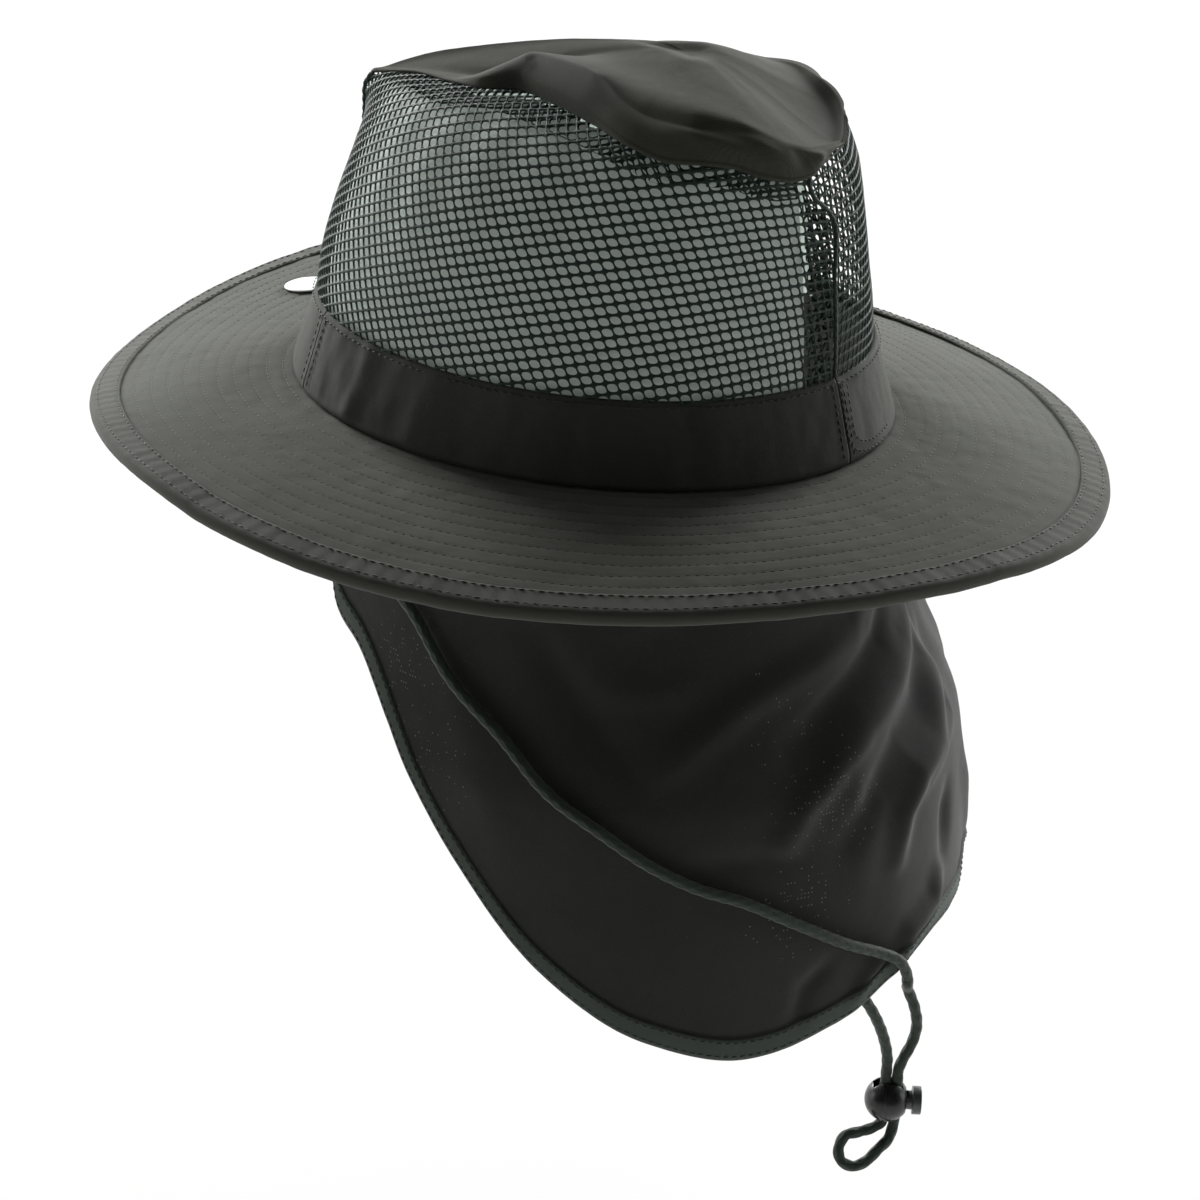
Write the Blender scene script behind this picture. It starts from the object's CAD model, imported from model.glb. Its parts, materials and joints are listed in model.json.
"""Sun hat: net crown under a cloth top, stitched brim, neck flap and chin cord with a ball lock.

The head opening is centred on the origin. The front faces -Y, the wearer's left is +X, up is +Z.
Shapes are worked out in millimetres and become metres in make_mesh. Angles are in degrees round
the crown, from 0 at the front through the wearer's left to 180 at the back.
"""

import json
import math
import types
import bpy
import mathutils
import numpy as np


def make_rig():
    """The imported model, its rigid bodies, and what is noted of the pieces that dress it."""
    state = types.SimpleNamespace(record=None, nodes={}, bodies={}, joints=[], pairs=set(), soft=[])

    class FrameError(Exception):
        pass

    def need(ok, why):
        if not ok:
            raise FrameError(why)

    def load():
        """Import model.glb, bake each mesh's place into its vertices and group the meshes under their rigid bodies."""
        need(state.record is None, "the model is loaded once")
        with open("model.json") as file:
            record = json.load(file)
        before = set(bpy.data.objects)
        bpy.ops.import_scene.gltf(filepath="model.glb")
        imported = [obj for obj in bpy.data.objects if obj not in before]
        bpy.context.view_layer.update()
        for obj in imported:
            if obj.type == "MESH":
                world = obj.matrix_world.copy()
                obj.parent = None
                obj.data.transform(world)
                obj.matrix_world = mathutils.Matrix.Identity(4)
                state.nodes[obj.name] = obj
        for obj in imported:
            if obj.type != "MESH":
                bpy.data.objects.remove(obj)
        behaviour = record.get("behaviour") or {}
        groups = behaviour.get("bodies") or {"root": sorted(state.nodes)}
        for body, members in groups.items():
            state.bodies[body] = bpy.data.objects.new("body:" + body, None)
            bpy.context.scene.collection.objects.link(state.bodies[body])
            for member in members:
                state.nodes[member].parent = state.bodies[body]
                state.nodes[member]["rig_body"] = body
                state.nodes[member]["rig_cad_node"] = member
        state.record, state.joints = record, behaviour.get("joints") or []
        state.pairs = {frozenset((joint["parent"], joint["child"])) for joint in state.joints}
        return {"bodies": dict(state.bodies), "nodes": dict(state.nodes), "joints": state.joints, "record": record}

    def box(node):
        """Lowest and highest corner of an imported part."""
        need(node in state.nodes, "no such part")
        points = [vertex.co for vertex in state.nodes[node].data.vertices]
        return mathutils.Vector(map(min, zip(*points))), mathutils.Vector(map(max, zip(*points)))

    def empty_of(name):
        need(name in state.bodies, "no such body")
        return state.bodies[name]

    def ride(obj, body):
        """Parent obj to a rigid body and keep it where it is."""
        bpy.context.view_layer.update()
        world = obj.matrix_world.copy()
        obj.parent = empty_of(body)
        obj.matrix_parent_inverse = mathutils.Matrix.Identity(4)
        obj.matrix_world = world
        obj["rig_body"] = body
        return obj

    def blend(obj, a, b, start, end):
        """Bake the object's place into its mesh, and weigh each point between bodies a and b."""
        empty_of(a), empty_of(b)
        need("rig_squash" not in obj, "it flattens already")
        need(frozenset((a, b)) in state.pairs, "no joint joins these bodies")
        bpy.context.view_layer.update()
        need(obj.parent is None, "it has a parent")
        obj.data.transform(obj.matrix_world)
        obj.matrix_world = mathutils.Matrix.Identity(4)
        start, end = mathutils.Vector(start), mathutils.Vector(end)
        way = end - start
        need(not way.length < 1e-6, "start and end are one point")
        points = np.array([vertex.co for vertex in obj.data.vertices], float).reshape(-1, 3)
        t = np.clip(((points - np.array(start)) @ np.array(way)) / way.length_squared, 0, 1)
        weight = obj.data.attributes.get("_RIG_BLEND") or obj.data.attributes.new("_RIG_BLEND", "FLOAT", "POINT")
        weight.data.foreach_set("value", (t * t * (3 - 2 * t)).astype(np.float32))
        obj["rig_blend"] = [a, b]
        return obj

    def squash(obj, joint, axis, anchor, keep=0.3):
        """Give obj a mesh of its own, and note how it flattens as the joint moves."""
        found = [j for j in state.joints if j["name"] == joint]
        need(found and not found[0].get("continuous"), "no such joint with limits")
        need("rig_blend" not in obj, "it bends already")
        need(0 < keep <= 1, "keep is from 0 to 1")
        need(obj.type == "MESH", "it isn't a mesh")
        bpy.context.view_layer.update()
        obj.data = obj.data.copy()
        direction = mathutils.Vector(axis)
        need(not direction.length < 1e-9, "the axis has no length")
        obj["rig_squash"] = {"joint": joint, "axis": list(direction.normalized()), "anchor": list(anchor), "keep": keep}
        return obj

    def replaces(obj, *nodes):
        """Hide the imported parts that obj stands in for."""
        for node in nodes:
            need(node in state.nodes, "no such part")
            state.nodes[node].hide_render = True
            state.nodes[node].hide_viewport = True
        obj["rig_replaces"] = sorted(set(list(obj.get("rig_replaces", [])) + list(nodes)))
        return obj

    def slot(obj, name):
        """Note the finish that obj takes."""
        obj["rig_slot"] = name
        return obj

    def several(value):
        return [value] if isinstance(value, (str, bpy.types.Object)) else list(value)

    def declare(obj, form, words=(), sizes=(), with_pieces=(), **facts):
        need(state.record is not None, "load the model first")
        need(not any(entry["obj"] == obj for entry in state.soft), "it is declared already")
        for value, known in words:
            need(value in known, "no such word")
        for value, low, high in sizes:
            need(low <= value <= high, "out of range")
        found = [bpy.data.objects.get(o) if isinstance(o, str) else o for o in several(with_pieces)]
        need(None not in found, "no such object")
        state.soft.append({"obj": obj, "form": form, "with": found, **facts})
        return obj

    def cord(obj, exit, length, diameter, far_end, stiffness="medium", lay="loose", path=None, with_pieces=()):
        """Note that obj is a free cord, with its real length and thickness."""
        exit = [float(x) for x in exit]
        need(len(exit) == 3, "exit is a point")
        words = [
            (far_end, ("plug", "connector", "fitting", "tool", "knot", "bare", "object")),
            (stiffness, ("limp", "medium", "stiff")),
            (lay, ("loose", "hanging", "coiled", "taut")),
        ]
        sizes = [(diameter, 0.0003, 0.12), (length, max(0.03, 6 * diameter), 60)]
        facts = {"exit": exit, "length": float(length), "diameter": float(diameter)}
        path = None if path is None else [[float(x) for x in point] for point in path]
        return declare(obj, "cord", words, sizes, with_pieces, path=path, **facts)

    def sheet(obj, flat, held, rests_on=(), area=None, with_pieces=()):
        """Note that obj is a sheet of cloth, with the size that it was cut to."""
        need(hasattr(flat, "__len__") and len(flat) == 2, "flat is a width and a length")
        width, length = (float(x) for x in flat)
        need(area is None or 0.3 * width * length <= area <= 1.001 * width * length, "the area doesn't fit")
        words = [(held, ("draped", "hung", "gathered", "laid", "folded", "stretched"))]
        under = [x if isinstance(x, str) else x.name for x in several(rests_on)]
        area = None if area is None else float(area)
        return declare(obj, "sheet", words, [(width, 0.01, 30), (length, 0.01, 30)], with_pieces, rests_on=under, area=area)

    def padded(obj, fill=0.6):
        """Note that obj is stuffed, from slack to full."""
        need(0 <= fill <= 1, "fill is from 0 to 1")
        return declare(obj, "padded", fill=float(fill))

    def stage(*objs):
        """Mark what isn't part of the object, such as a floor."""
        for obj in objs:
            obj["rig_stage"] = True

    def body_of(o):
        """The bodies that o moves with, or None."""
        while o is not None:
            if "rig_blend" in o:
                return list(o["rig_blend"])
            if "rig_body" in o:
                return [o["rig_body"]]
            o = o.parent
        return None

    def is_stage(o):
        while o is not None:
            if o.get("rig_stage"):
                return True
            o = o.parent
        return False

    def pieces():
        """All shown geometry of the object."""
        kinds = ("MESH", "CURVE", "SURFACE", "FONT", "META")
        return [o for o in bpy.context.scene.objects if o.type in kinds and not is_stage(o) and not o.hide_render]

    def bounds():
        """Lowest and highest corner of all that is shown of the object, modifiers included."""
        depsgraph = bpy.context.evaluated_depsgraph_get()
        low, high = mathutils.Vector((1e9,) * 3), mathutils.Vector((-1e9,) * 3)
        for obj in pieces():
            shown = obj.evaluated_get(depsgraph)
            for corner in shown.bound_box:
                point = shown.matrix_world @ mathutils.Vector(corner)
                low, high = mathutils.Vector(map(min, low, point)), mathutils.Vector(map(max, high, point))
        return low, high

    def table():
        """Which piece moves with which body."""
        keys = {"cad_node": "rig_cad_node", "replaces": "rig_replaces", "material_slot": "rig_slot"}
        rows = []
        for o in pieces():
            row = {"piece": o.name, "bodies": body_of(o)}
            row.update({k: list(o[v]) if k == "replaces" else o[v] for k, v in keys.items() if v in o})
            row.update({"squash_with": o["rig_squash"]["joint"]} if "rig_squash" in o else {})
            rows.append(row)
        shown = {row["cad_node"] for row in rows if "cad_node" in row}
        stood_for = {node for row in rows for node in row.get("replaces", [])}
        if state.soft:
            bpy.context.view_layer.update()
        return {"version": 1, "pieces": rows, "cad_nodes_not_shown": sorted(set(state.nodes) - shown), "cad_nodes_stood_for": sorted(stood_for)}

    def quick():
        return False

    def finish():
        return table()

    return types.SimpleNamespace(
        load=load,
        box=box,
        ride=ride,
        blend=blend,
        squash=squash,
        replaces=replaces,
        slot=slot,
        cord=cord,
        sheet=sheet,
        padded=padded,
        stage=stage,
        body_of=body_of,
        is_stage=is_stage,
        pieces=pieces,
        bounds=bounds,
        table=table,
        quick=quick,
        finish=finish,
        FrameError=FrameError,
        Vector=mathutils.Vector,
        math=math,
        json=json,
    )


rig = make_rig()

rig.load()

import json
import math
import bmesh
import bpy
import numpy as np
from mathutils import Matrix, Vector

CAD_BOX = [list(map(float, p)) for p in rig.bounds()]
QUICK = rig.quick() if hasattr(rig, "quick") else False
RNG = np.random.default_rng(7)
MM = 0.001
RAD = math.pi / 180
TURN = 2 * math.pi
HASH_PRIMES = np.array([374761393, 668265263, 2147483647])


# ------------------------------------------------------------------ curves
def pchip(stations, values):
    """smooth curve through the stations that never overshoots them"""
    xs = np.asarray(stations, float)
    ys = np.asarray(values, float)
    step = np.diff(xs)
    slope = np.diff(ys) / step
    tangent = np.zeros(len(xs))
    tangent[0] = slope[0]
    tangent[-1] = slope[-1]
    for i in range(1, len(xs) - 1):
        if slope[i - 1] * slope[i] > 0:
            before = 2 * step[i] + step[i - 1]
            after = step[i] + 2 * step[i - 1]
            tangent[i] = (before + after) / (before / slope[i - 1] + after / slope[i])

    def curve(x):
        x = np.clip(np.asarray(x, float), xs[0], xs[-1])
        i = np.clip(np.searchsorted(xs, x, side="right") - 1, 0, len(xs) - 2)
        t = (x - xs[i]) / step[i]
        return ((2 * t**3 - 3 * t**2 + 1) * ys[i]
                + (t**3 - 2 * t**2 + t) * step[i] * tangent[i]
                + (-2 * t**3 + 3 * t**2) * ys[i + 1]
                + (t**3 - t**2) * step[i] * tangent[i + 1])
    return curve


def smooth(x, low, high):
    t = np.clip((np.asarray(x, float) - low) / (high - low), 0, 1)
    return t * t * (3 - 2 * t)


def hump(x, centre, width):
    return np.exp(-((x - centre) / width) ** 2)


def unit(vectors, tiny=0.0):
    return vectors / (np.linalg.norm(vectors, axis=-1, keepdims=True) + tiny)


def run_length(path):
    """length along a path at each of its points"""
    return np.concatenate([[0], np.cumsum(np.linalg.norm(np.diff(path, axis=0), axis=1))])


def resample(lengths, values, spots):
    return np.stack([np.interp(spots, lengths, values[:, k]) for k in range(3)], 1)


def oval(angle, half_width, half_depth, z):
    angle, half_width, half_depth, z = np.broadcast_arrays(
        np.asarray(angle, float) * RAD, half_width, half_depth, z)
    return np.stack([half_width * np.sin(angle), -half_depth * np.cos(angle), z * 1.0], -1)


def oval_normal(angle, half_width, half_depth):
    return unit(oval(angle, 1 / half_width, 1 / half_depth, 0.0))


def value_noise(points, scale, seed, octaves=2):
    """value noise at points in mm, about -1..1"""
    points = np.asarray(points, float) / scale
    total = np.zeros(points.shape[:-1])
    amplitude = 1.0
    reach = 0.0
    for octave in range(octaves):
        spot = points * 2**octave + 17.3 * octave + seed * 5.1
        whole = np.floor(spot).astype(np.int64)
        part = spot - whole
        part = part * part * (3 - 2 * part)
        layer = 0
        for corner in np.ndindex(2, 2, 2):
            mixed = ((whole + corner) * HASH_PRIMES).sum(-1) + seed * 1274126177
            mixed = (mixed ^ (mixed >> 13)) * 1274126177
            value = ((mixed ^ (mixed >> 16)) & 0xFFFF) / 32767.5 - 1
            near = np.where(corner, part, 1 - part)
            layer = layer + value * (near[..., 0] * near[..., 1] * near[..., 2])
        total += layer * amplitude
        reach += amplitude
        amplitude *= 0.5
    return total / reach


def soft_ridge(x, y, path, width, height):
    """soft ridge along a polyline, fading at both ends"""
    path = np.asarray(path, float)
    best = np.full(x.shape, 1e9)
    place = np.zeros(x.shape)
    lengths = run_length(path)
    for k in range(len(path) - 1):
        leg = path[k + 1] - path[k]
        share = ((x - path[k, 0]) * leg[0] + (y - path[k, 1]) * leg[1]) / (leg @ leg)
        share = np.clip(share, 0, 1)
        gap = np.hypot(x - path[k, 0] - share * leg[0], y - path[k, 1] - share * leg[1])
        closer = gap < best
        best = np.where(closer, gap, best)
        along = (lengths[k] + share * np.linalg.norm(leg)) / lengths[-1]
        place = np.where(closer, along, place)
    return (height * hump(best, 0, width)
            * smooth(place, -0.25, 0.3) * (1 - smooth(place, 0.7, 1.25)))


def fold_height(x, y, folds, x_scale=1.0):
    """height of a table of folds; x_scale turns x, in degrees, into mm"""
    return sum(soft_ridge(x * x_scale, y, np.multiply(path, (x_scale, 1)), width, height)
               for path, width, height in folds)


# ------------------------------------------------------------------ meshes
def make_mesh(name, verts, faces, material, corners=None):
    """mesh object from verts in mm; corners holds (across, along, darkening) per face corner"""
    mesh = bpy.data.meshes.new(name)
    verts = np.asarray(verts, float) * MM
    mesh.vertices.add(len(verts))
    mesh.vertices.foreach_set("co", verts.astype(np.float32).ravel())
    loops = np.concatenate([f.ravel() for f in faces])
    sizes = np.concatenate([np.full(len(f), f.shape[1]) for f in faces])
    starts = np.concatenate([[0], np.cumsum(sizes)[:-1]])
    mesh.loops.add(len(loops))
    mesh.loops.foreach_set("vertex_index", loops.astype(np.int32))
    mesh.polygons.add(len(sizes))
    mesh.polygons.foreach_set("loop_start", starts.astype(np.int32))
    mesh.update(calc_edges=True)
    mesh.polygons.foreach_set("use_smooth", np.full(len(sizes), True))
    if corners is not None:
        values = np.concatenate([np.asarray(c, float).reshape(-1, 3) for c in corners])
        weave = mesh.attributes.new("weave", "FLOAT_VECTOR", "CORNER")
        weave.data.foreach_set("vector", values.astype(np.float32).ravel())
    mesh.validate()
    ob = bpy.data.objects.new(name, mesh)
    bpy.context.scene.collection.objects.link(ob)
    mesh.materials.append(material)
    return ob


def corner_normals(verts, faces):
    start = verts[faces[:, 0]]
    return np.cross(verts[faces[:, 1]] - start, verts[faces[:, -1]] - start)


def grid_faces(rows, cols):
    start = (np.arange(rows - 1)[:, None] * cols + np.arange(cols - 1)).ravel()
    return np.stack([start, start + cols, start + cols + 1, start + 1], 1)


def grid_normals(points, closed=False):
    if closed:
        across = np.roll(points, -1, 0) - np.roll(points, 1, 0)
    else:
        across = np.gradient(points, axis=0)
    return unit(np.cross(across, np.gradient(points, axis=1)), 1e-9)


def weave_lengths(points, closed):
    """weave coordinates in mm, from the length along both directions"""
    if closed:
        points = np.concatenate([points, points[:1]], 0)
    rows, cols = points.shape[:2]
    across = np.repeat(run_length(points[:, cols // 2])[:, None], cols, 1)
    steps = np.linalg.norm(np.diff(points, axis=1), axis=2)
    along = np.concatenate([np.zeros((rows, 1)), np.cumsum(steps, 1)], 1)
    return np.stack([across, along, 0 * along], -1)


def sheet(name, outer, normals, thickness, material, closed=False, weave=None, dark=None):
    """closed thin solid between a grid and the same grid moved in along its normals"""
    rows, cols = outer.shape[:2]
    inner = outer - normals * thickness
    verts = np.concatenate([outer.reshape(-1, 3), inner.reshape(-1, 3)])
    if weave is None:
        weave = weave_lengths(outer, closed)
    if dark is not None:
        weave[:rows, :, 2] = dark
        if closed:
            weave[rows, :, 2] = dark[0]
    # faces are numbered on a grid whose last row repeats the first one when it is closed
    size = rows * cols
    layer = (rows + closed) * cols
    index = np.arange(layer).reshape(-1, cols)
    grid = grid_faces(rows + closed, cols)
    turned = [0, 3, 2, 1]

    def rim(edge):
        start, end = edge[:-1], edge[1:]
        return np.stack([start, end, end + layer, start + layer], 1)

    faces = [grid, (grid + layer)[:, ::-1], rim(index[:, 0])[:, turned], rim(index[:, -1])]
    if not closed:
        faces += [rim(index[0]), rim(index[-1])[:, turned]]
    faces = np.concatenate(faces)
    corners = np.tile(weave.reshape(-1, 3), (2, 1))[faces]
    faces = faces % layer % size + faces // layer * size
    face = faces[:len(grid)]
    if (corner_normals(verts, face) * normals.reshape(-1, 3)[face[:, 0]]).sum() < 0:
        faces = faces[:, ::-1]
        corners = corners[:, ::-1]
    return make_mesh(name, verts, [faces], material, [corners])


def loft(name, rings, material, closed=False):
    """solid swept through closed rings, capped at both ends unless it closes on itself"""
    count, sides = rings.shape[:2]
    centres = rings.mean(1)
    verts = rings.reshape(-1, 3)
    grid = grid_faces(count + closed, sides + 1)
    row, col = grid // (sides + 1), grid % (sides + 1)
    faces = row % count * sides + col % sides
    across = run_length(np.concatenate([centres, centres[:1]]))
    along = run_length(np.concatenate([rings[0], rings[0][:1]]))
    corners = np.stack([across[row], along[col], 0.0 * row], -1)
    outward = verts[faces[:, 0]] - centres[row[:, 0]]
    order = 1 if (corner_normals(verts, faces) * outward).sum() > 0 else -1
    faces = [faces[:, ::order]]
    corners = [corners[:, ::order]]
    if not closed:
        size = count * sides
        verts = np.concatenate([verts, centres[:1], centres[-1:]])
        here = np.arange(sides)
        after = (here + 1) % sides
        last = size - sides
        for cap in ((here, after, np.full(sides, size)),
                    (last + after, last + here, np.full(sides, size + 1))):
            faces.append(np.stack(cap, 1)[:, ::order])
            corners.append(np.zeros((sides, 3, 3)))
    return make_mesh(name, verts, faces, material, corners)


def twine(name, path, material, radius_at, sides, reference):
    """tube along a path; radius_at takes the angle round it and the length along it"""
    path = np.asarray(path, float)
    tangent = unit(np.gradient(path, axis=0))
    side = np.zeros_like(path)
    side[0] = unit(np.cross(tangent[0], reference))
    for i in range(1, len(path)):
        side[i] = unit(side[i - 1] - tangent[i] * (side[i - 1] @ tangent[i]))
    other = np.cross(tangent, side)
    around = np.linspace(0, TURN, sides, endpoint=False)[None]
    radius = radius_at(around, run_length(path)[:, None])[..., None]
    around = around[..., None]
    ring = np.cos(around) * side[:, None] + np.sin(around) * other[:, None]
    return loft(name, path[:, None] + radius * ring, material)


def rope(name, path, radius, material, lump=0.0, pitch=2.0):
    def radius_at(around, length):
        return radius * (1 + lump * np.cos(2 * around + TURN * length / pitch))
    return twine(name, path, material, radius_at, sides=8, reference=[0, 0, 1.0])


def stand_in(ob, node, slot):
    if node:
        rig.replaces(ob, node)
    if slot:
        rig.slot(ob, slot)


def wear(ob, node=None, slot=None):
    """fixes a piece to the hat"""
    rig.ride(ob, "hat")
    stand_in(ob, node, slot)


def swing(ob, node=None, slot=None):
    """lets a piece follow the neck flap more and more towards its lower end"""
    stand_in(ob, node, slot)
    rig.blend(ob, "hat", "neck_flap", start=(0, 0.0, -0.008), end=(0, 0.0, -0.12))


def apply_modifiers(ob):
    graph = bpy.context.evaluated_depsgraph_get()
    mesh = bpy.data.meshes.new_from_object(ob.evaluated_get(graph))
    ob.modifiers.clear()
    ob.data = mesh


# ------------------------------------------------------------------ materials
def lin(colour):
    """sRGB 0..255 to linear"""
    return tuple(c / 255 / 12.92 if c / 255 <= 0.04045 else ((c / 255 + 0.055) / 1.055) ** 2.4
                 for c in colour)


class Material:
    """node tree round one principled shader"""

    def __init__(self, name):
        self.data = bpy.data.materials.new(name)
        self.data.use_nodes = True
        self.tree = self.data.node_tree
        self.tree.nodes.clear()
        self.out = self.node("ShaderNodeOutputMaterial")
        self.surface = self.node("ShaderNodeBsdfPrincipled")
        self.link(self.surface.outputs[0], self.out.inputs[0])

    def node(self, kind, **settings):
        node = self.tree.nodes.new(kind)
        for key, value in settings.items():
            setattr(node, key, value)
        return node

    def link(self, source, target):
        self.tree.links.new(source, target)

    def feed(self, socket, value):
        if isinstance(value, (int, float)):
            socket.default_value = value
        else:
            self.link(value, socket)

    def set(self, name, value):
        self.feed(self.surface.inputs[name], value)

    def place(self):
        return self.node("ShaderNodeTexCoord").outputs["Object"]

    def split(self, vector):
        node = self.node("ShaderNodeSeparateXYZ")
        self.link(vector, node.inputs[0])
        return node.outputs

    def math(self, operation, *values, clamp=False):
        node = self.node("ShaderNodeMath", operation=operation, use_clamp=clamp)
        for socket, value in zip(node.inputs, values):
            self.feed(socket, value)
        return node.outputs[0]

    def times(self, a, b):
        return self.math("MULTIPLY", a, b)

    def scale_add(self, value, scale, add):
        return self.math("MULTIPLY_ADD", value, scale, add)

    def total(self, first, *others):
        for other in others:
            first = self.math("ADD", first, other)
        return first

    def centred(self, noise, amount):
        """noise moved to lie evenly about zero, times an amount"""
        return self.times(self.math("SUBTRACT", noise, 0.5), amount)

    def wave(self, value, period):
        return self.math("SINE", self.times(value, TURN / period))

    def noise(self, vector, scale, detail=3.0):
        node = self.node("ShaderNodeTexNoise")
        node.inputs["Scale"].default_value = scale
        node.inputs["Detail"].default_value = detail
        node.inputs["Roughness"].default_value = 0.55
        self.link(vector, node.inputs["Vector"])
        return node.outputs["Fac"]

    def ramp(self, factor, low, high):
        """colour ramp from one sRGB colour at 0.3 to another at 0.7"""
        node = self.node("ShaderNodeValToRGB")
        self.link(factor, node.inputs[0])
        for stop, position, colour in zip(node.color_ramp.elements, (0.3, 0.7), (low, high)):
            stop.position = position
            stop.color = (*lin(colour), 1)
        return node.outputs[0]

    def mix(self, factor, base, colour):
        node = self.node("ShaderNodeMix", data_type="RGBA", blend_type="MIX")
        self.link(factor, node.inputs[0])
        self.link(base, node.inputs[6])
        node.inputs[7].default_value = (*lin(colour), 1)
        return node.outputs[2]

    def shaded(self, colour, shade):
        """colour times a shade"""
        node = self.node("ShaderNodeVectorMath", operation="SCALE")
        node.inputs[0].default_value = lin(colour)
        self.link(shade, node.inputs["Scale"])
        return node.outputs[0]

    def bump(self, height, strength, distance):
        node = self.node("ShaderNodeBump")
        node.inputs["Strength"].default_value = strength
        node.inputs["Distance"].default_value = distance
        self.link(height, node.inputs["Height"])
        self.set("Normal", node.outputs[0])


# patches of the flap where the thread gaps show light: centre (m), radius (m), strength
PINHOLE_PATCHES = [
    ((0.094, -0.018, -0.072), 0.022, 1.0), ((0.103, 0.002, -0.098), 0.020, 0.7),
    ((0.056, 0.104, -0.075), 0.020, 0.55), ((0.052, 0.119, -0.104), 0.026, 1.0),
    ((0.064, 0.116, -0.135), 0.022, 0.9)]


def add_pinholes(m, colour, place, across, along, pitch, strength):
    """tiny light gaps between threads, pitch mm apart, scattered in the patches"""
    def in_gap(value, spacing, half):
        part = m.math("FRACT", m.times(value, 1 / spacing))
        return m.math("LESS_THAN", m.math("ABSOLUTE", m.math("SUBTRACT", part, 0.5)), half)

    hole = m.times(in_gap(across, pitch, half=0.16), in_gap(along, pitch * 1.15, half=0.14))
    near = None
    for centre, radius, weight in PINHOLE_PATCHES:
        gap = m.node("ShaderNodeVectorMath", operation="DISTANCE")
        m.link(place, gap.inputs[0])
        gap.inputs[1].default_value = centre
        share = m.math("DIVIDE", gap.outputs["Value"], radius)
        patch = m.times(m.math("SUBTRACT", 1.0, share, clamp=True), 0.8 * weight)
        near = m.math("MAXIMUM", near, patch) if near else patch
    threshold = m.scale_add(near, scale=-0.30, add=0.78)
    pick = m.math("GREATER_THAN", m.noise(place, scale=520.0, detail=0.0), threshold)
    keep = m.times(m.times(hole, m.math("GREATER_THAN", near, 0.02)), pick)
    return m.mix(m.times(keep, strength), colour, (205, 205, 198))


def cloth(name, colour, rib=0.62, sheen=0.12, vary=0.22, bump=0.35, planar=False, warm=None,
          pinholes=None):
    """woven twill: diagonal ribs rib mm apart, crossing threads, shade changes and fuzz;
    planar weaves lie in the object's own axes"""
    m = Material(name)
    weave = m.node("ShaderNodeAttribute", attribute_name="weave").outputs["Vector"]
    dark = m.split(weave)[2]
    if planar:
        in_mm = m.node("ShaderNodeMapping")
        in_mm.inputs["Scale"].default_value = (1000, 1000, 1000)
        m.link(m.place(), in_mm.inputs[0])
        weave = in_mm.outputs[0]
    place = m.place()
    across, along = m.split(weave)[:2]
    wobble = m.centred(m.noise(place, scale=260.0, detail=2.0), 0.8)
    ribs = m.wave(m.total(across, along, wobble), rib)
    warp = m.wave(m.total(across, wobble), rib * 0.55)
    weft = m.wave(along, rib * 0.6)
    threads = m.total(m.times(ribs, 0.6), m.total(m.times(warp, 0.22), m.times(weft, 0.18)))
    height = m.scale_add(threads, scale=0.5, add=0.5)
    broad = m.noise(place, scale=16.0)
    middle = m.noise(place, scale=95.0)
    fine = m.noise(place, scale=1500.0, detail=2.0)
    shade = m.total(m.centred(broad, vary), m.centred(middle, vary * 0.8),
                    m.centred(fine, vary * 0.9), m.times(threads, 0.10), 1.0)
    shade = m.times(m.math("MAXIMUM", shade, 0.2), m.math("SUBTRACT", 1.0, dark, clamp=True))
    tone = m.shaded(colour, shade)
    if warm is not None:
        patches = m.math("SUBTRACT", m.noise(place, scale=9.0, detail=2.0), 0.35, clamp=True)
        tone = m.mix(m.times(patches, 0.9), tone, warm)
    # a few lighter fibres
    fuzz = m.math("GREATER_THAN", m.noise(place, scale=2300.0, detail=1.0), 0.70)
    tone = m.mix(m.times(fuzz, 0.10), tone, (150, 146, 136))
    if pinholes:
        tone = add_pinholes(m, tone, place, across, along, **pinholes)
    m.set("Base Color", tone)
    m.set("Roughness", m.scale_add(height, scale=-0.12, add=0.92))
    m.set("Sheen Weight", sheen)
    m.set("Sheen Roughness", 0.55)
    m.set("Specular IOR Level", 0.25)
    m.bump(m.total(height, m.times(fine, 0.5)), strength=bump, distance=0.00022)
    return m.data


def yarn(name, colour, rough=0.7, sheen=0.2, fibres=900.0):
    """twisted thread or knitted net; fibres sets how fine the fibre noise is"""
    vary = 0.3
    m = Material(name)
    place = m.place()
    fibre = m.noise(place, scale=fibres * 1.6, detail=2.0)
    middle = m.noise(place, scale=140.0, detail=2.0)
    broad = m.noise(place, scale=20.0, detail=2.0)
    shade = m.total(m.centred(fibre, vary * 1.6), m.centred(middle, vary),
                    m.centred(broad, vary * 0.8), 1.0)
    m.set("Base Color", m.shaded(colour, m.math("MAXIMUM", shade, 0.15)))
    m.set("Roughness", m.scale_add(middle, scale=0.2, add=rough - 0.1))
    m.set("Sheen Weight", sheen)
    m.set("Specular IOR Level", 0.35)
    fuzz = m.noise(place, scale=fibres * 4, detail=1.0)
    m.bump(m.total(fibre, fuzz), strength=0.4, distance=0.00015)
    return m.data


def plastic(name, colour, rough, scuff=(90, 92, 90)):
    """moulded plastic with edges rubbed to the scuff colour"""
    m = Material(name)
    place = m.place()
    pointed = m.node("ShaderNodeNewGeometry").outputs["Pointiness"]
    edge = m.math("MULTIPLY", m.math("SUBTRACT", pointed, 0.52, clamp=True), 6.0, clamp=True)
    fine = m.noise(place, scale=700.0)
    middle = m.noise(place, scale=160.0, detail=2.0)
    wear_mask = m.times(edge, fine)
    tone = m.shaded(colour, m.scale_add(middle, scale=0.35, add=0.82))
    m.set("Base Color", m.mix(m.times(wear_mask, 0.6), tone, scuff))
    m.set("Roughness", m.scale_add(fine, scale=0.22, add=rough - 0.08))
    m.bump(fine, strength=0.12, distance=0.0001)
    return m.data


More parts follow.
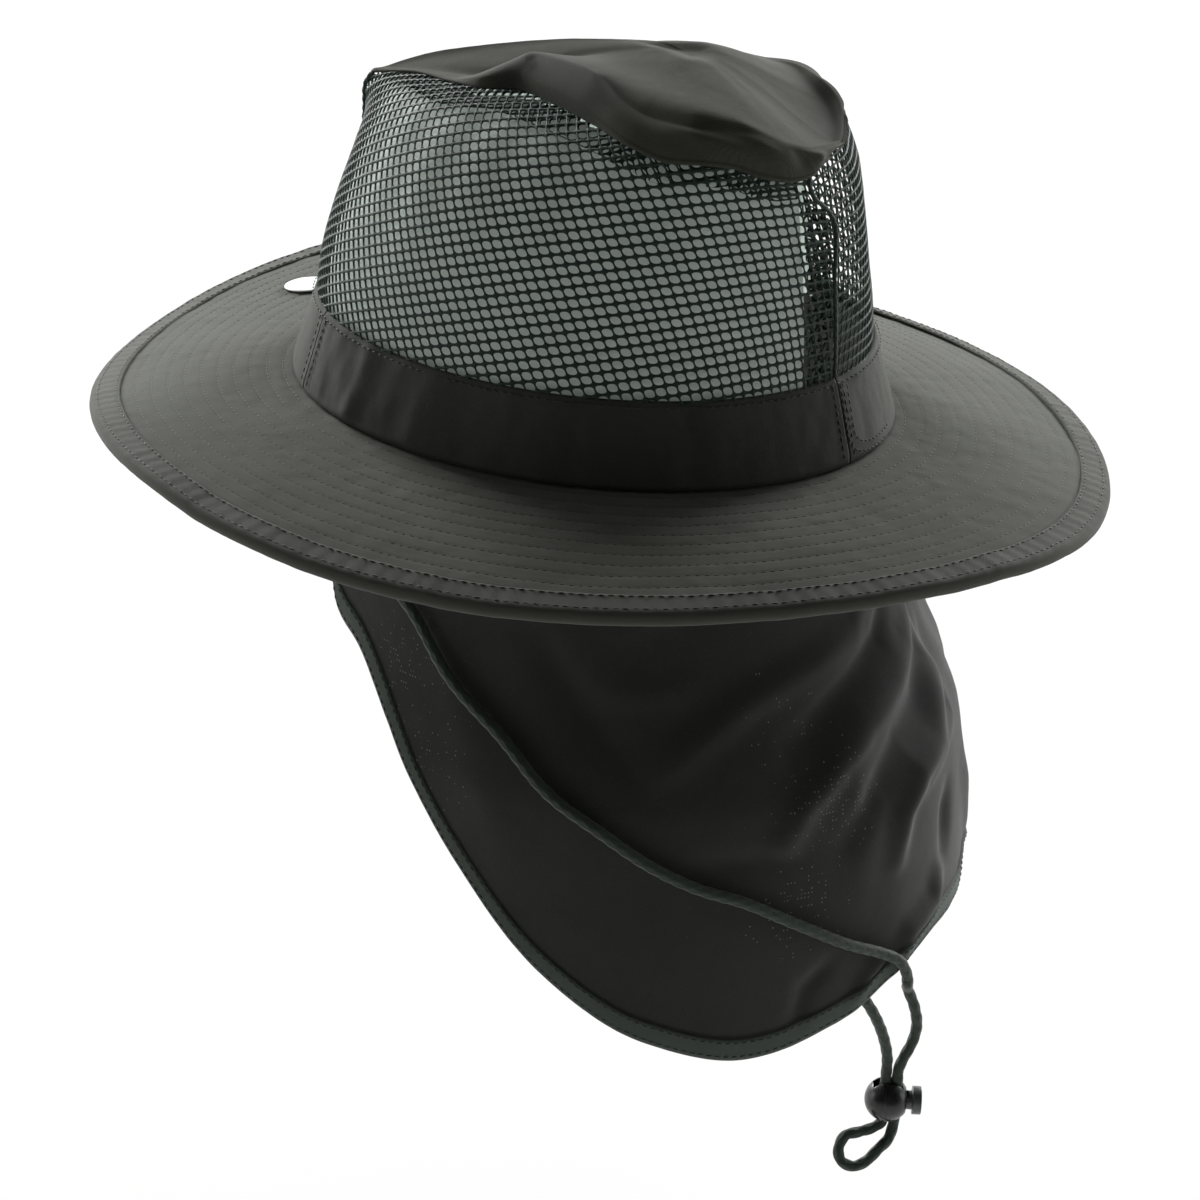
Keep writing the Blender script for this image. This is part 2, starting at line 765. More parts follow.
def paper(name, colour):
    m = Material(name)
    place = m.place()
    fine = m.noise(place, scale=900.0)
    middle = m.noise(place, scale=120.0, detail=2.0)
    shade = m.total(m.centred(fine, 0.06), m.scale_add(middle, scale=0.08, add=0.95))
    m.set("Base Color", m.shaded(colour, shade))
    m.set("Roughness", m.scale_add(middle, scale=0.2, add=0.35))
    m.bump(fine, strength=0.15, distance=0.0001)
    return m.data


TOP = cloth("twill_top", (64, 65, 56), planar=True, vary=0.32, sheen=0.05)
BRIM = cloth("twill_brim", (62, 65, 54), planar=True, vary=0.34, warm=(69, 67, 57))
UNDER = cloth("twill_under", (58, 59, 53), planar=True)
BAND = cloth("twill_band", (66, 68, 61), vary=0.25)
BINDING = cloth("twill_binding", (65, 67, 59), vary=0.2)
FLAP = cloth("poplin_flap", (40, 41, 39), rib=0.45, vary=0.3, sheen=0.15,
             pinholes=dict(pitch=1.3, strength=0.26))
HEM = cloth("poplin_hem", (72, 80, 75), rib=0.45, vary=0.25)
SWEATBAND = cloth("sweatband_tape", (48, 48, 46), rib=0.9, vary=0.2)
LINING = cloth("crown_lining_cloth", (240, 250, 243), rib=0.5, vary=0.08, sheen=0.1, bump=0.15)
glow = LINING.node_tree.nodes["Principled BSDF"].inputs
glow["Emission Color"].default_value = (0.80, 0.92, 0.84, 1)
glow["Emission Strength"].default_value = 0.07
STIFFENER = cloth("brim_stiffener", (190, 188, 180), rib=0.8, vary=0.1, planar=True)
NET = yarn("knitted_net", (36, 54, 45), rough=0.62, sheen=0.1)
CORD = yarn("braided_cord", (44, 55, 48), fibres=700.0)
THREAD = yarn("sewing_thread", (42, 43, 40), rough=0.6)
BRIM_THREAD = yarn("brim_thread", (58, 60, 53), rough=0.6)
LOCK_PLASTIC = plastic("lock_moulding", (24, 25, 25), rough=0.28)
BUTTON_PLASTIC = plastic("button_moulding", (70, 74, 72), rough=0.3, scuff=(160, 164, 160))
LABEL = paper("size_label", (232, 232, 228))


# ------------------------------------------------------------------ crown shape
BASE = (88.4, 104.9)            # half width and half depth of the crown at its foot

# top seam: degrees from the front, distance forward, distance to the side, height
SEAM = [
    (0, 86.5, 0, 93.5), (18, 61, 8, 99.5), (35, 41, 13, 102.5), (52, 24, 14.5, 106),
    (78, 6, 22, 108), (100, -14, 31, 109), (118, -35, 41, 110), (131, -51, 43, 110),
    (146, -66, 35, 109), (157, -77, 27, 105), (166, -82, 17, 102), (180, -84, 0, 100)]
_angles, *_columns = zip(*SEAM)
seam_forward, seam_side, seam_height = [pchip(_angles, column) for column in _columns]

# share of the wall height at which the net meets the top cloth, by angle
net_top = pchip(
    [0, 27, 51.5, 68, 87, 104, 116.5, 126, 134, 142, 149, 155.5,
     163, 170, 176, 183, 195, 210, 225, 250, 280, 310, 335, 360],
    [0.985, 0.93, 0.888, 0.933, 0.91, 0.865, 0.80, 0.762, 0.77, 0.757, 0.72, 0.725,
     0.77, 0.872, 0.945, 0.975, 0.97, 0.90, 0.85, 0.86, 0.90, 0.90, 0.93, 0.985])

# angle of the net's back seam by share of the wall height, pulled round to the wearer's left
back_seam = pchip(
    [0, 0.3, 0.41, 0.5, 0.56, 0.61, 0.65, 0.72, 0.8, 1.0],
    [168.6, 168.9, 170.0, 170.8, 169.4, 166.5, 163.8, 162.6, 163.5, 168.0])


def from_front(angle):
    """degrees from the front on either side"""
    angle = np.mod(angle, 360)
    return np.where(angle > 180, 360 - angle, angle)


def seam(angle):
    angle = np.mod(np.asarray(angle, float), 360)
    side = np.where(angle > 180, -1.0, 1.0)
    turn = from_front(angle)
    return np.stack([side * seam_side(turn), -seam_forward(turn), seam_height(turn)], -1)


def wall(angle, rise):
    """point on the crown wall; rise runs from 0 at the band to 1 at the top seam"""
    angle, rise = np.broadcast_arrays(np.asarray(angle, float), np.asarray(rise, float))
    foot = oval(angle, 81.7, 96.6, 28.5)
    head = seam(angle)
    base = oval(angle, *BASE, 0.0)
    lower = base * 0.905
    lower[..., 2] = 66
    gap = head - base * 0.86
    flat = np.minimum(1, np.hypot(gap[..., 0], gap[..., 1]) / 60)
    upper = head + (base * 0.85 - head) * (0.5 + 0.34 * flat)[..., None]
    upper[..., 2] = (head[..., 2] - 7) * (1 - flat) + 106 * flat
    # the wearer's right and the front are pressed in a little
    turn = np.mod(angle, 360)
    inset = (2.7 * smooth(turn, 181, 200) * (1 - smooth(turn, 290, 335))
             * (0.5 + 0.5 * smooth(rise, 0, 0.3))
             + 2.6 * smooth(turn, 176, 196) * (1 - smooth(turn, 225, 265))
             * smooth(rise, 0.6, 0.95))
    turn = np.mod(angle + 180, 360) - 180
    inset = inset - (smooth(turn, -70, -10) * (1 - smooth(turn, 50, 90))
                     * (2.4 * hump(rise, 0.80, 0.16) - 1.5 * hump(rise, 0.34, 0.2)))
    v = rise[..., None]
    point = ((1 - v) ** 3 * foot + 3 * (1 - v) ** 2 * v * lower
             + 3 * (1 - v) * v * v * upper + v ** 3 * head)
    return point - oval(angle, 1.0, 1.0, 0.0) * inset[..., None]


def wall_frame(angle, rise):
    """wall points and their outward normals"""
    points = wall(angle, rise)
    across = wall(angle + 0.3, rise) - wall(angle - 0.3, rise)
    along = wall(angle, rise + 0.01) - wall(angle, rise - 0.01)
    normals = unit(np.cross(across, along), 1e-9)
    normals *= np.sign(((points - [0, 0, 30]) * normals).sum(-1, keepdims=True))
    return points, normals


# ------------------------------------------------------------------ net
NET_HOLE = (0.85, 0.745)        # hole size as a share of a cell
NET_HALF = 0.38                 # half the thickness of the knitting
NET_ROWS = 30                   # rows of the helper grid that carries the cells

# cell coordinates from the flattened wall in units of 100 mm:
# power of x, power of y, factor for the cell column, factor for the cell row
NET_MAP = [
    (0, 1, 8.35, -25.2016), (0, 2, 7.5928, -2.3298), (0, 3, -1.9261, 1.9606),
    (1, 0, 28.0811, 9.4065), (1, 1, -2.3781, 2.3337), (1, 2, -3.7811, -4.9543),
    (2, 0, 0.1061, -2.8641), (2, 1, -0.1284, -1.7451), (3, 0, 1.5631, -0.5375)]


def flatten(points):
    """relaxes a grid into the plane like springs that keep edge and diagonal lengths"""
    rows, cols = points.shape[:2]
    start = weave_lengths(points, False)[..., :2].copy()
    start[..., 0] -= start[rows // 2, cols // 2, 0]
    index = np.arange(rows * cols).reshape(rows, cols)
    springs = np.concatenate([
        np.stack([a.ravel(), b.ravel()], 1)
        for a, b in ((index[:-1], index[1:]), (index[:, :-1], index[:, 1:]),
                     (index[:-1, :-1], index[1:, 1:]), (index[1:, :-1], index[:-1, 1:]))])
    first, second = springs.T
    solid = points.reshape(-1, 3)
    rest = np.linalg.norm(solid[first] - solid[second], axis=1)
    flat = start.reshape(-1, 2)
    size = len(flat)
    count = np.bincount(springs.ravel(), minlength=size)[:, None]
    for _ in range(900):
        leg = flat[second] - flat[first]
        length = np.linalg.norm(leg, axis=1) + 1e-9
        pull = leg * ((length - rest) / length * 0.5)[:, None]
        move = np.stack([np.bincount(first, pull[:, k], size)
                         - np.bincount(second, pull[:, k], size) for k in (0, 1)], 1)
        flat = flat + move / count * 1.6
    return flat.reshape(rows, cols, 2)


def locate(flat, angles, rises, spots):
    """(angle, rise) of plane points on the flattened grid, nan outside it"""
    params = np.stack(np.meshgrid(angles, rises, indexing="ij"), -1).reshape(-1, 2)
    faces = grid_faces(*flat.shape[:2])
    flat = flat.reshape(-1, 2)
    triangles = np.concatenate([faces[:, [0, 1, 2]], faces[:, [0, 2, 3]]])
    found = np.full((len(spots), 2), np.nan)
    order = np.argsort(spots[:, 0])
    sorted_x = spots[order, 0]
    corners = flat[triangles]
    low = corners.min(1) - 1e-6
    high = corners.max(1) + 1e-6
    begin = np.searchsorted(sorted_x, low[:, 0])
    end = np.searchsorted(sorted_x, high[:, 0])
    for k, triangle in enumerate(triangles):
        near = order[begin[k]:end[k]]
        y = spots[near, 1]
        near = near[(y >= low[k, 1]) & (y <= high[k, 1])]
        a, b, c = corners[k]
        ab, ac = b - a, c - a
        area = ab[0] * ac[1] - ac[0] * ab[1]
        if not len(near) or abs(area) < 1e-12:
            continue
        offset = spots[near] - a
        share_b = (offset[:, 0] * ac[1] - offset[:, 1] * ac[0]) / area
        share_c = (offset[:, 1] * ab[0] - offset[:, 0] * ab[1]) / area
        inside = (share_b >= -1e-4) & (share_c >= -1e-4) & (share_b + share_c <= 1.0001)
        share_b = share_b[inside, None]
        share_c = share_c[inside, None]
        found[near[inside]] = (params[triangle[0]] * (1 - share_b - share_c)
                               + params[triangle[1]] * share_b + params[triangle[2]] * share_c)
    return found


def cell_loops():
    """outlines of one cell with their heights: top edge, shoulder, hole, bottom edge"""
    phase = (15 + 30 * np.arange(12)) * RAD
    ring = np.stack([np.cos(phase), np.sin(phase)], 1)
    square = 0.5 * ring / np.abs(ring).max(1, keepdims=True)
    hole = 0.5 * np.array(NET_HOLE) * (np.sign(ring) * np.abs(ring) ** (2 / 2.7))
    hole *= (1.0 + 0.10 * np.sin(2 * phase))[:, None]       # leans along the long diagonal
    shoulder = square * 0.42 + hole * 0.58
    return [(square, NET_HALF), (shoulder, NET_HALF * 0.72), (hole, 0.0), (square, -NET_HALF)]


def net_cells(points, turn, pitch, shift):
    """lays the cell grid over the wall: cell coordinates of each grid point"""
    flat = flatten(points)
    middle = flat[:, int(NET_ROWS * 0.4)]
    level = middle[int(len(flat) * 0.6)] - middle[int(len(flat) * 0.4)]
    angle = -math.atan2(level[1], level[0]) + turn
    flat = flat @ np.array([[math.cos(angle), -math.sin(angle)],
                            [math.sin(angle), math.cos(angle)]]).T
    if pitch is None:
        x, y = flat[..., 0] / 100, flat[..., 1] / 100
        flat = np.stack([sum(row[column] * x**row[0] * y**row[1] for row in NET_MAP)
                         for column in (2, 3)], -1)
    else:
        flat = flat @ np.linalg.inv(np.array(pitch)).T
    return flat + np.array(shift)


def net(name, start, end, bottom, lift, limit, node=None, pitch=None, shift=(0.0, 0.0),
        cols=60, turn=0.0, mirror=False, low=None):
    """open knitted net on the crown wall between the angles start and limit(rise)

    It reaches from the rise bottom, or low(angle) where that is higher, to the top cloth.
    mirror lays it out from the other side.
    """
    span = end - start
    angles = np.linspace(start - 0.03 * span, end + 0.03 * span, cols)
    rises = np.linspace(bottom - 0.06, 1.055, NET_ROWS)
    points, normals = wall_frame(*np.meshgrid(angles, rises, indexing="ij"))
    flat = net_cells(points + normals * -0.4, turn, pitch, shift)

    def flip(angle):
        return 360 - angle if mirror else angle

    def lowest(angle):
        return bottom if low is None else np.maximum(bottom, low(angle))

    def highest(angle):
        return net_top(np.mod(flip(angle), 360.0)) + 0.03

    first = np.floor(flat.reshape(-1, 2).min(0)).astype(int) - 1
    last = np.ceil(flat.reshape(-1, 2).max(0)).astype(int) + 1
    cells = np.stack(np.meshgrid(*map(np.arange, first, last), indexing="ij"), -1)
    cells = cells.reshape(-1, 2).astype(float)
    middles = locate(flat, angles, rises, cells + 0.5)
    inside = ~np.isnan(middles[:, 0])
    angle, rise = np.nan_to_num(middles).T
    margin = 0.35 * span / 180
    inside &= (angle > start - margin) & (angle < limit(rise) + margin)
    inside &= (rise > lowest(angle) - 0.004) & (rise < highest(angle) + 0.006)
    cells = cells[inside]

    # neighbouring cells share the points on their common edges
    loops = cell_loops()
    plane = np.stack([cells[:, None, :] + 0.5 + loop[None] for loop, _ in loops], 1)
    height = np.array([level for _, level in loops])[None, :, None]
    height = np.broadcast_to(height, plane.shape[:3]).reshape(-1)
    plane = plane.reshape(-1, 2)
    key = np.concatenate([np.round(plane * 2000), np.round(height[:, None] * 1000)], 1)
    _, kept, index = np.unique(key.astype(np.int64), axis=0, return_index=True,
                               return_inverse=True)
    plane, height = plane[kept], height[kept]
    params = locate(flat, angles, rises, plane)
    lost = np.isnan(params[:, 0])
    good = np.where(~lost)[0]
    for i in np.where(lost)[0]:
        params[i] = params[good[np.argmin(((plane[good] - plane[i]) ** 2).sum(1))]]
    angle = np.clip(params[:, 0], start, limit(np.clip(params[:, 1], bottom, 1.0)))
    rise = np.clip(params[:, 1], lowest(angle), np.minimum(highest(angle), 0.995))
    points, normals = wall_frame(flip(angle), rise)
    wobble = value_noise(points, 9.0, 3) * 0.18
    verts = points + normals * (lift + height + wobble)[:, None]

    index = index.reshape(len(cells), 4, 12)
    after = np.roll(index, -1, 2)
    faces = np.concatenate([
        np.stack([index[:, a], after[:, a], after[:, b], index[:, b]], -1).reshape(-1, 4)
        for a, b in ((0, 1), (1, 2), (2, 3))])
    legs = [verts[faces[:, k]] - verts[faces[:, 0]] for k in (1, 2, 3)]
    area = (np.linalg.norm(np.cross(legs[0], legs[1]), axis=1)
            + np.linalg.norm(np.cross(legs[1], legs[2]), axis=1))
    a, b, c, d = faces.T
    faces = faces[(a != b) & (c != d) & (a != d) & (area > 1e-5)]
    upper = faces[(height[faces[:, 0]] > 0.1) & (height[faces[:, 2]] > 0.1)]
    if (corner_normals(verts, upper) * normals[upper[:, 0]]).sum() < 0:
        faces = faces[:, ::-1]
    wear(make_mesh(name, verts, [faces], NET), node, "net")


BACK_PITCH = ((3.0, 2.2), (1.6, -2.9))      # cell edges in mm, for the back seam allowances
net("net_panel_left", 0.25, 172.0, bottom=-0.03, lift=-0.4, node="mesh_panel_left",
    limit=lambda rise: back_seam(rise) - 0.15)
net("net_panel_right", 0.25, 199.0, bottom=-0.03, lift=-0.4, node="mesh_panel_right",
    mirror=True, cols=66, limit=lambda rise: 359.85 - back_seam(rise))
net("top_seam_allowance", 4.0, 160.0, bottom=0.3, lift=-1.6, shift=(0.45, 0.55),
    limit=lambda rise: 160.0, low=lambda angle: net_top(np.mod(angle, 360.0)) - 0.10)
net("back_seam_allowance", 161.2, 172.0, bottom=-0.02, lift=-1.7, node="back_seam_strip",
    cols=14, pitch=BACK_PITCH, turn=0.45, limit=lambda rise: back_seam(rise) - 0.4)
net("back_seam_allowance_inner", 161.6, 172.0, bottom=-0.02, lift=-2.7, cols=14,
    pitch=BACK_PITCH, shift=(0.4, 0.55), turn=-0.45, limit=lambda rise: back_seam(rise) - 0.6)


def seam_ridge(name, top, angle_at):
    rise = np.linspace(0.0, top, 160)
    wear(rope(name, wall(angle_at(rise), rise), 0.75, NET, lump=0.18, pitch=3.0))


seam_ridge("front_seam_ridge", float(net_top(0.0)), np.zeros_like)
seam_ridge("back_seam_ridge", 0.765, back_seam)


def lining():
    """plain cloth behind the net, open at the back"""
    angle, share = np.meshgrid(np.linspace(-124, 160.6, 220), np.linspace(0, 1, 56),
                               indexing="ij")
    foot = -0.055
    top = np.minimum(net_top(np.mod(angle, 360.0)), 0.93) + 0.02
    rise = foot + (top - foot) * share
    points, normals = wall_frame(angle, rise)
    waves = (value_noise(points, 26, 11) * 1.0
             + 0.5 * np.sin(angle * RAD * 22 + rise * 5) * smooth(rise, 0.1, 0.5))
    offset = np.minimum(waves, 0.9) * smooth(rise, 0, 0.1) - 3.6
    points = points + normals * offset[..., None]
    wear(sheet("crown_lining_sheet", points, normals, 0.5, LINING), "crown_lining", "lining")


lining()


# ------------------------------------------------------------------ top cloth
# folds of the top: path (x, y), width, height before they are softened
TOP_FOLDS = [
    ([(-13, 8), (-10, 26), (-5, 44), (6, 58), (12, 70)], 5.0, 2.0),
    ([(4, 2), (8, 20), (16, 34), (27, 45)], 6.0, -1.5),
    ([(12, 66), (22, 72), (26, 79)], 4.5, -2.4),
    ([(24, 52), (30, 62), (33, 70)], 4.0, 1.2),
    ([(-4, 66), (4, 74), (8, 82)], 3.5, -1.8),
    ([(3, 66), (10, 76), (13, 82)], 3.0, 1.0),
    ([(10, -48), (14, -30), (20, -14)], 3.0, 1.3),
    ([(3, -55), (5, -32), (12, -16)], 4.0, -1.1),
    ([(-8, -50), (-12, -28), (-24, -8)], 4.5, 1.4),
    ([(-30, 10), (-22, 34), (-24, 56)], 6.0, -1.6),
    ([(-4, -74), (2, -50), (0, -30)], 4.0, 1.2),
    ([(-18, 62), (-26, 72), (-28, 80)], 4.0, -1.6)]
# folds below the ridge: path (degrees from the front, mm below the ridge), width, height
SIDE_FOLDS = [
    ([(124, 0), (134, 6), (142, 14), (149, 21)], 5.0, 1.1),
    ([(150, 4), (153, 13), (155, 22)], 4.0, 0.7),
    ([(160, 2), (161, 10), (162, 20)], 2.6, -1.2),
    ([(166, 2), (167, 8), (167, 14)], 2.4, 1.0),
    ([(60, 0), (66, 5), (72, 8)], 3.0, 1.2)]
TOP_ROWS = 60                   # rows from the centre of the top out to the ridge
SIDE_ROWS = 20                  # rows from the ridge down to the stitched seam
TOP_AROUND = 560
TOP_CENTRE = np.array([0, 30.0])


def top_plateau(angle):
    """cloth inside the ridge; returns points, distance in from the ridge, lift of the ridge"""
    ridge = wall(angle, np.ones(TOP_AROUND))
    outline = ridge[:, :2]
    share = ((np.arange(1, TOP_ROWS + 1) / TOP_ROWS) ** 0.9)[None]
    flat = TOP_CENTRE + (outline[:, None] - TOP_CENTRE) * share[..., None]
    inward = np.stack([np.sqrt(((spoke[:, None] - outline) ** 2).sum(-1)).min(1)
                       for spoke in flat])
    base = ridge[:, 2][:, None] + 0.8
    dome = base * share ** 1.7 + 122.6 * (1 - share ** 1.7)
    # the cloth stands up behind the ridge on both sides, so the top is a plateau there
    stand = (smooth(angle, 38, 62) * (1 - smooth(angle, 136, 168))
             + smooth(360 - angle, 46, 84) * (1 - smooth(360 - angle, 100, 145)))[:, None]
    rise = (8.6 - 1.9 * smooth(angle, 85, 115))[:, None]
    reach = (1.9 + 1.2 * smooth(angle, 85, 115))[:, None]
    # towards the front of the left side the cloth below the ridge carries the rise
    upright = (1 - smooth(angle, 96, 122))[:, None]
    lift = stand * upright * rise
    lip = (base + lift + stand * (1 - upright) * rise * (1 - np.exp(-inward / reach))
           - 0.02 * inward)
    blend = 1.6
    z = (blend * np.logaddexp(dome / blend, lip / blend)
         - 0.69 * blend * hump(dome, lip, 2 * blend))
    x, y = flat[..., 0], flat[..., 1]
    z = (z + 0.32 * fold_height(x, y, TOP_FOLDS) * smooth(inward, 0.5, 8)
         - 5.0 * smooth(y, 25, 70) * smooth(24 - x, 0, 24) * smooth(inward, 0, 5))
    # let the cloth relax away from the seam
    loose = smooth(inward, 1.5, 9)
    for _ in range(150):
        around = np.roll(z, 1, 0) + np.roll(z, -1, 0)
        across = (np.concatenate([z[:, :1], z[:, :-1]], 1)
                  + np.concatenate([z[:, 1:], z[:, -1:]], 1))
        z = z + (0.25 * around + 0.25 * across - z) * loose
    # the middle blends into the plane that best fits a row near it
    row = int(TOP_ROWS * 0.24)
    system = np.stack([np.ones(TOP_AROUND), x[:, row], y[:, row]], 1)
    fit = np.linalg.lstsq(system, z[:, row], rcond=None)[0]
    plane = fit[0] + fit[1] * x + fit[2] * y
    z = plane + (z - plane) * smooth(share, 0.03, 0.26)
    points = np.concatenate([flat, z[..., None]], -1)
    points[..., 2] += (value_noise(points, 28, 4) * 0.5 * smooth(inward, 0.5, 8)
                       + value_noise(points, 6, 9) * 0.10)
    return points, inward, lift


def top_side(angle, lift):
    """cloth over the ridge and down the crown side; returns points and normals"""
    share = np.linspace(0, 1, SIDE_ROWS + 1)[None, 1:]
    rise = 0.995 + (net_top(angle)[:, None] - 0.995) * share
    angle = np.repeat(angle[:, None], SIDE_ROWS, 1)
    points, normals = wall_frame(angle, rise)
    turn = from_front(angle)
    folds = fold_height(turn, (1 - rise) * 95, SIDE_FOLDS, x_scale=1.1)
    arch = np.sin(share * math.pi)
    sag = 0.7 * arch * smooth(turn, 90, 115)
    # the last sine can fall below zero by rounding, which the power must not see
    offset = (0.75 + folds * np.abs(arch) ** 0.6 + sag
              + 0.25 * value_noise(points, 12, 23) * arch)
    points = points + normals * offset[..., None]
    points[..., 2] += lift * (1 - share) ** 0.35
    return points, normals


def top_darkening(angle, inward, cols):
    """soft shade behind the ridge and along the turned edge"""
    left = smooth(angle, 50, 64) * (1 - smooth(angle, 96, 116))
    back = smooth(angle, 125, 160) * (1 - smooth(angle, 214, 240))
    dark = np.zeros((TOP_AROUND, cols))
    edge = TOP_ROWS + SIDE_ROWS
    dark[:, :TOP_ROWS] = (0.50 * left[:, None] * hump(inward, 0, 5.0)
                          + 0.28 * back[:, None] * hump(inward, 0, 18.0))
    dark[:, TOP_ROWS:edge] = (0.45 * left)[:, None]
    dark[:, edge - 2] = 0.45
    dark[:, edge + 1:] = 0.5
    return dark


def top_cloth():
    angle = np.linspace(0, 360, TOP_AROUND, endpoint=False)
    plateau, inward, lift = top_plateau(angle)
    side, side_normals = top_side(angle, lift)
    # turned edge lying on the net
    edge = side[:, -1]
    down = unit(side[:, -1] - side[:, -3], 1e-9)
    turned = np.stack([edge + down * out + side_normals[:, -1] * up
                       for out, up in ((0.45, -0.12), (0.6, -0.5), (0.3, -0.95))], 1)
    outer = np.concatenate([plateau, side], 1)
    normals = grid_normals(outer, closed=True)
    normals *= np.sign(normals[:, 10, 2].sum())
    under = (outer - normals * 1.0)[:, ::-1]
    rows = np.concatenate([outer, turned, under[:, 1:]], 1)
    cols = rows.shape[1]
    size = TOP_AROUND * cols
    middle = plateau[:, 0, 2].mean()
    verts = np.concatenate([rows.reshape(-1, 3), [[*TOP_CENTRE, middle + 0.01],
                                                  [*TOP_CENTRE, middle - 1.0]]])
    faces = grid_faces(TOP_AROUND + 1, cols)
    column = faces[:, 0] % cols
    faces = faces % size
    if corner_normals(verts, faces)[column < 20][:, 2].sum() < 0:
        faces = faces[:, ::-1]
    here = np.arange(TOP_AROUND)
    after = (here + 1) % TOP_AROUND
    last = cols - 1
    caps = [np.stack([np.full(TOP_AROUND, size), here * cols, after * cols], 1),
            np.stack([np.full(TOP_AROUND, size + 1), after * cols + last,
                      here * cols + last], 1)]
    if corner_normals(verts, caps[0])[:, 2].sum() < 0:
        caps = [cap[:, ::-1] for cap in caps]
    dark = np.concatenate([top_darkening(angle, inward, cols).ravel(), [0, 0.3]])
    faces = [faces, *caps]
    corners = [np.stack([0 * dark[f], 0 * dark[f], dark[f]], -1) for f in faces]
    wear(make_mesh("crown_top_cloth", verts, faces, TOP, corners),
         "crown_top_panel", "top_cloth")


top_cloth()


# ------------------------------------------------------------------ stitches
# rings of one stitch: place along its length, share of its radius, height
STITCH_RINGS = [(-0.5, 0.0, -0.10), (-0.36, 0.75, -0.02), (-0.1, 1.0, 0.06),
                (0.15, 1.0, 0.06), (0.36, 0.75, -0.02), (0.5, 0.0, -0.10)]


def stitch_row(path, normals, pitch, length=1.9, radius=0.26, sink=0.05, closed=False):
    """verts, triangles and quads of a row of stitches along a path"""
    if closed:
        path = np.concatenate([path, path[:1]])
        normals = np.concatenate([normals, normals[:1]])
    lengths = run_length(path)
    count = max(2, int(round(lengths[-1] / pitch)))
    spots = (np.arange(count) + 0.5) * (lengths[-1] / count)
    start = resample(lengths, path, spots - length / 2)
    end = resample(lengths, path, spots + length / 2)
    centre = resample(lengths, path, spots)
    up = unit(resample(lengths, normals, spots))
    span = np.linalg.norm(end - start, axis=1, keepdims=True)
    forward = (end - start) / span
    aside = np.cross(forward, up)
    jitter = RNG.normal(0, 0.05, (count, 1))
    forward = forward + aside * RNG.normal(0, 0.03, (count, 1))
    sides = 6
    angle = np.linspace(0, TURN, sides, endpoint=False)[None, :, None]
    rings = []
    for along, swell, lift in STITCH_RINGS:
        base = centre + forward * (along * span) + up * (lift - sink + radius * 0.55)
        base = (base + aside * jitter)[:, None]
        if swell:
            base = base + radius * swell * (np.cos(angle) * aside[:, None]
                                            + 0.8 * np.sin(angle) * up[:, None])
        rings.append(base)
    verts = np.concatenate(rings, 1)
    size = verts.shape[1]
    here = np.arange(sides)
    after = (here + 1) % sides
    last = 1 + 3 * sides
    triangles = np.concatenate([
        np.stack([np.zeros(sides, int), 1 + after, 1 + here], 1),
        np.stack([np.full(sides, size - 1), last + here, last + after], 1)])
    quads = np.concatenate([
        np.stack([ring + here, ring + after, ring + sides + after, ring + sides + here], 1)
        for ring in (1, 1 + sides, 1 + 2 * sides)])
    offset = (np.arange(count) * size)[:, None, None]
    return (verts.reshape(-1, 3), (triangles[None] + offset).reshape(-1, 3),
            (quads[None] + offset).reshape(-1, 4))


def stitching(name, rows, material):
    """one object from several rows of stitches"""
    verts, triangles, quads = [], [], []
    offset = 0
    for points, threes, fours in rows:
        verts.append(points)
        triangles.append(threes + offset)
        quads.append(fours + offset)
        offset += len(points)
    ob = make_mesh(name, np.concatenate(verts),
                   [np.concatenate(triangles), np.concatenate(quads)], material)
    bm = bmesh.new()
    bm.from_mesh(ob.data)
    bmesh.ops.recalc_face_normals(bm, faces=bm.faces[:])
    bm.to_mesh(ob.data)
    bm.free()
    ob.data.update()
    return ob


def facing(points, z):
    """straight up or down normals for a row of points"""
    normals = np.zeros_like(points)
    normals[..., 2] = z
    return normals


# ------------------------------------------------------------------ crown band
BAND_SIDE = 43                  # angle of the side joins
BAND_BACK = 168.8               # angle of the back join
BAND_GAP = 0.12                 # half the gap at a join, in degrees
# upright creases: angle, slant in degrees per mm, width in degrees, height
BAND_CREASES = [(62, 0.10, 2.2, 0.7), (67, 0.12, 2.6, -0.6), (79, 0.15, 2.5, 0.5),
                (132, 0, 3.5, -0.4), (170, 0, 2.5, 0.4)]
# two curved stitch rows that turn out of the back join: angles, heights
BACK_ROWS = [
    ([168.9, 168.7, 168.6, 168.5, 168.4, 169.2, 171.2, 174.2, 178.5, 184],
     [26.5, 23, 19, 14.5, 9.6, 6.0, 3.6, 2.4, 2.0, 2.2]),
    ([171.0, 170.9, 170.9, 170.8, 170.7, 171.6, 174.0, 177.5, 182.0, 187],
     [25.5, 22, 19, 15, 10.6, 7.6, 5.4, 4.6, 4.4, 4.7])]


def band_point(angle, z, offset=0.0):
    share = (np.asarray(z, float) - 0.6) / 27.4
    return oval(angle, BASE[0] + (81.9 - BASE[0]) * share + offset,
                BASE[1] + (96.8 - BASE[1]) * share + offset, z)


def band_normal(angle):
    return unit(oval_normal(angle, *BASE) + [0, 0, 0.25])


